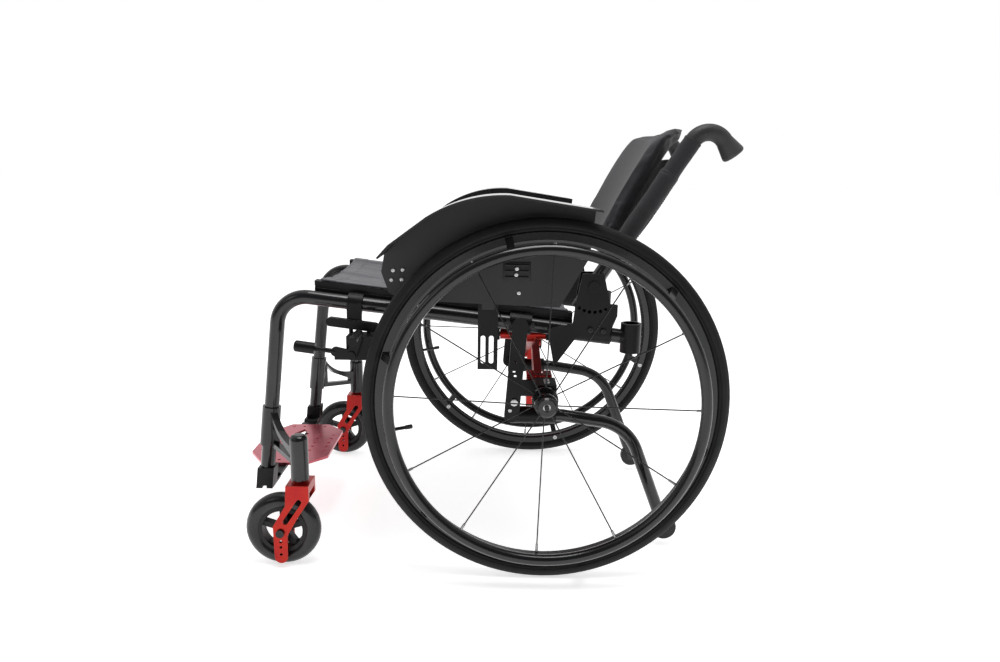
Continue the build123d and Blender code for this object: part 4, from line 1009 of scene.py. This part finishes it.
sleeve_radius = 0.0150
sleeve_low = 0.045
sleeve_seam = 0.2195
sleeve_high = 0.286
sleeve_rings = 28
sleeve_hem = 0.0005
collar_half_height = 0.0026
collar_half_width = 0.0014


def sleeve_wave(rise, turn):
    """Slack of the sleeve's cloth over the cane."""
    ripple = noise.noise(Vector((cos(turn) * 1.4, sin(turn) * 1.4, rise * 70)))
    return 0.0006 * ripple


for side, sign in SIDES:
    cane_x = sign * back_pivot.x
    for name, low, high, radius in (
        ("back_sleeve", sleeve_low, sleeve_seam, sleeve_radius),
        ("cane_cover", sleeve_seam, sleeve_high, sleeve_radius - 0.0009),
    ):
        mesh = bmesh.new()
        ring = bmesh.ops.create_circle(mesh, segments=40, radius=1.0)["verts"]
        for number in range(sleeve_rings):
            rim = [edge for edge in mesh.edges if edge.verts[0] in ring and edge.verts[1] in ring]
            grown = bmesh.ops.extrude_edge_only(mesh, edges=rim)["geom"]
            ring = raise_parts(mesh, grown, (0, 0, 1.0))
        for point in mesh.verts:
            rise = low + (high - low) * point.co.z / sleeve_rings
            turn = atan2(point.co.y, point.co.x)
            end = min(point.co.z, sleeve_rings - point.co.z)
            hem = sleeve_hem if end < 1.5 else 0.0
            reach = radius + sleeve_wave(rise, turn) + hem
            point.co = back_point(cane_x + cos(turn) * reach, rise, sin(turn) * reach)
        sleeve = piece(mesh, f"{side}_{name}", cover_cloth, f"{side}_back", 180.0)
        stiffen(sleeve, 0.001, -1.0)
        2 * pi * radius
    mesh = bmesh.new()
    middle = back_point(cane_x, sleeve_seam, 0.0)
    way = (back_point(cane_x, sleeve_seam + 0.1, 0.0) - middle).normalized()
    collar = bmesh.ops.create_circle(mesh, segments=14, radius=0.0017)["verts"]
    for point in collar:
        tilt = atan2(point.co.y, point.co.x)
        reach = sleeve_radius + 0.0004 + collar_half_width * cos(tilt)
        point.co = middle + Vector((reach, 0, 0)) + way * collar_half_height * sin(tilt)
    spin_round(mesh, mesh.verts[:] + mesh.edges[:], middle, way, 48)
    piece(mesh, f"{side}_sleeve_collar", cover_cloth, f"{side}_back", 180.0)

panel_half = 0.1615
panel_low = 0.06
panel_high = 0.262
panel_rest = 0.0135
panel_hang = 0.006
panel_ripple = 0.0025
panel_hem_width = 0.012
panel_hem_rise = 0.0006


def rear_panel_forward(x, rise):
    """How far the slack rear panel hangs behind the canes, as a negative number."""
    share = (rise - panel_low) / (panel_high - panel_low)
    out = 1.0 - (abs(x) / panel_half) ** 4
    slack = sin(pi * min(1.0, max(0.0, share))) ** 0.7
    ripple = noise.noise(Vector((x * 14, rise * 9, 4.2))) * panel_ripple * out
    return -panel_rest - panel_hang * slack - panel_hang * out * slack + ripple


mesh = bmesh.new()
bmesh.ops.create_grid(mesh, x_segments=80, y_segments=56, size=1.0)
for point in mesh.verts:
    x = point.co.x * panel_half
    rise = panel_low + (point.co.y + 1) / 2 * (panel_high - panel_low)
    hem = panel_hem_rise if min(rise - panel_low, panel_high - rise) < panel_hem_width else 0.0
    point.co = back_point(x, rise, rear_panel_forward(x, rise) - hem)
bmesh.ops.reverse_faces(mesh, faces=mesh.faces)
rear_panel = piece(mesh, "back_rear_panel", cover_cloth, "right_back", 180.0, False)
stiffen(rear_panel, 0.0012)

webbing = nylon("webbing", grey(0.022), grey(0.03), 2600.0, 0.0003, 0.6)
strap_half = 0.019
strap_places = (0.085, 0.135, 0.185, 0.235)
strap_reaches = (0.118, 0.130, 0.118, 0.130)
strap_gap = 0.0030
straps = []
for number, (rise, strap_reach) in enumerate(zip(strap_places, strap_reaches), 1):
    mesh = bmesh.new()
    bmesh.ops.create_grid(mesh, x_segments=48, y_segments=8, size=1.0)
    for point in mesh.verts:
        x = point.co.x * strap_reach
        up_strap = rise + point.co.y * strap_half
        point.co = back_point(x, up_strap, rear_panel_forward(x, up_strap) - strap_gap)
    bmesh.ops.reverse_faces(mesh, faces=mesh.faces)
    strap = piece(mesh, f"back_strap_{number}", webbing, "right_back", 180.0, False)
    stiffen(strap, 0.0014)
    straps.append(strap)

seam_height = 0.0022


def panel_seam_point(x, rise, sign=1):
    """Point of a seam on the back of the rear panel."""
    return back_point(sign * x, rise, rear_panel_forward(x, rise) - seam_height)


mesh = bmesh.new()
for sign in (-1, 1):
    for inset in (0.006, 0.010):
        rises = [panel_low + seam_end + step * 0.004 for step in range(49)]
        stitches(mesh, [panel_seam_point(panel_half - inset, rise, sign) for rise in rises])
for rise in (panel_low + panel_hem_width, panel_high - panel_hem_width):
    stitches(mesh, [panel_seam_point(step * 0.005, rise) for step in range(-30, 31)])
back_thread = piece(mesh, "back_stitching", thread, "right_back", 60.0)

# ---- Upholstery meshes ----------------------------------------------------------------------------------
# When the cross-brace closes, the left side comes in against the right one. Each cloth piece rides the
# right-hand rail or back, and is given its own copy of its mesh.

for cloth in (seat, seat_thread):
    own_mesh(cloth)
for cloth in (back_pad, rear_panel, back_thread, *straps):
    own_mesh(cloth)

low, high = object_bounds()
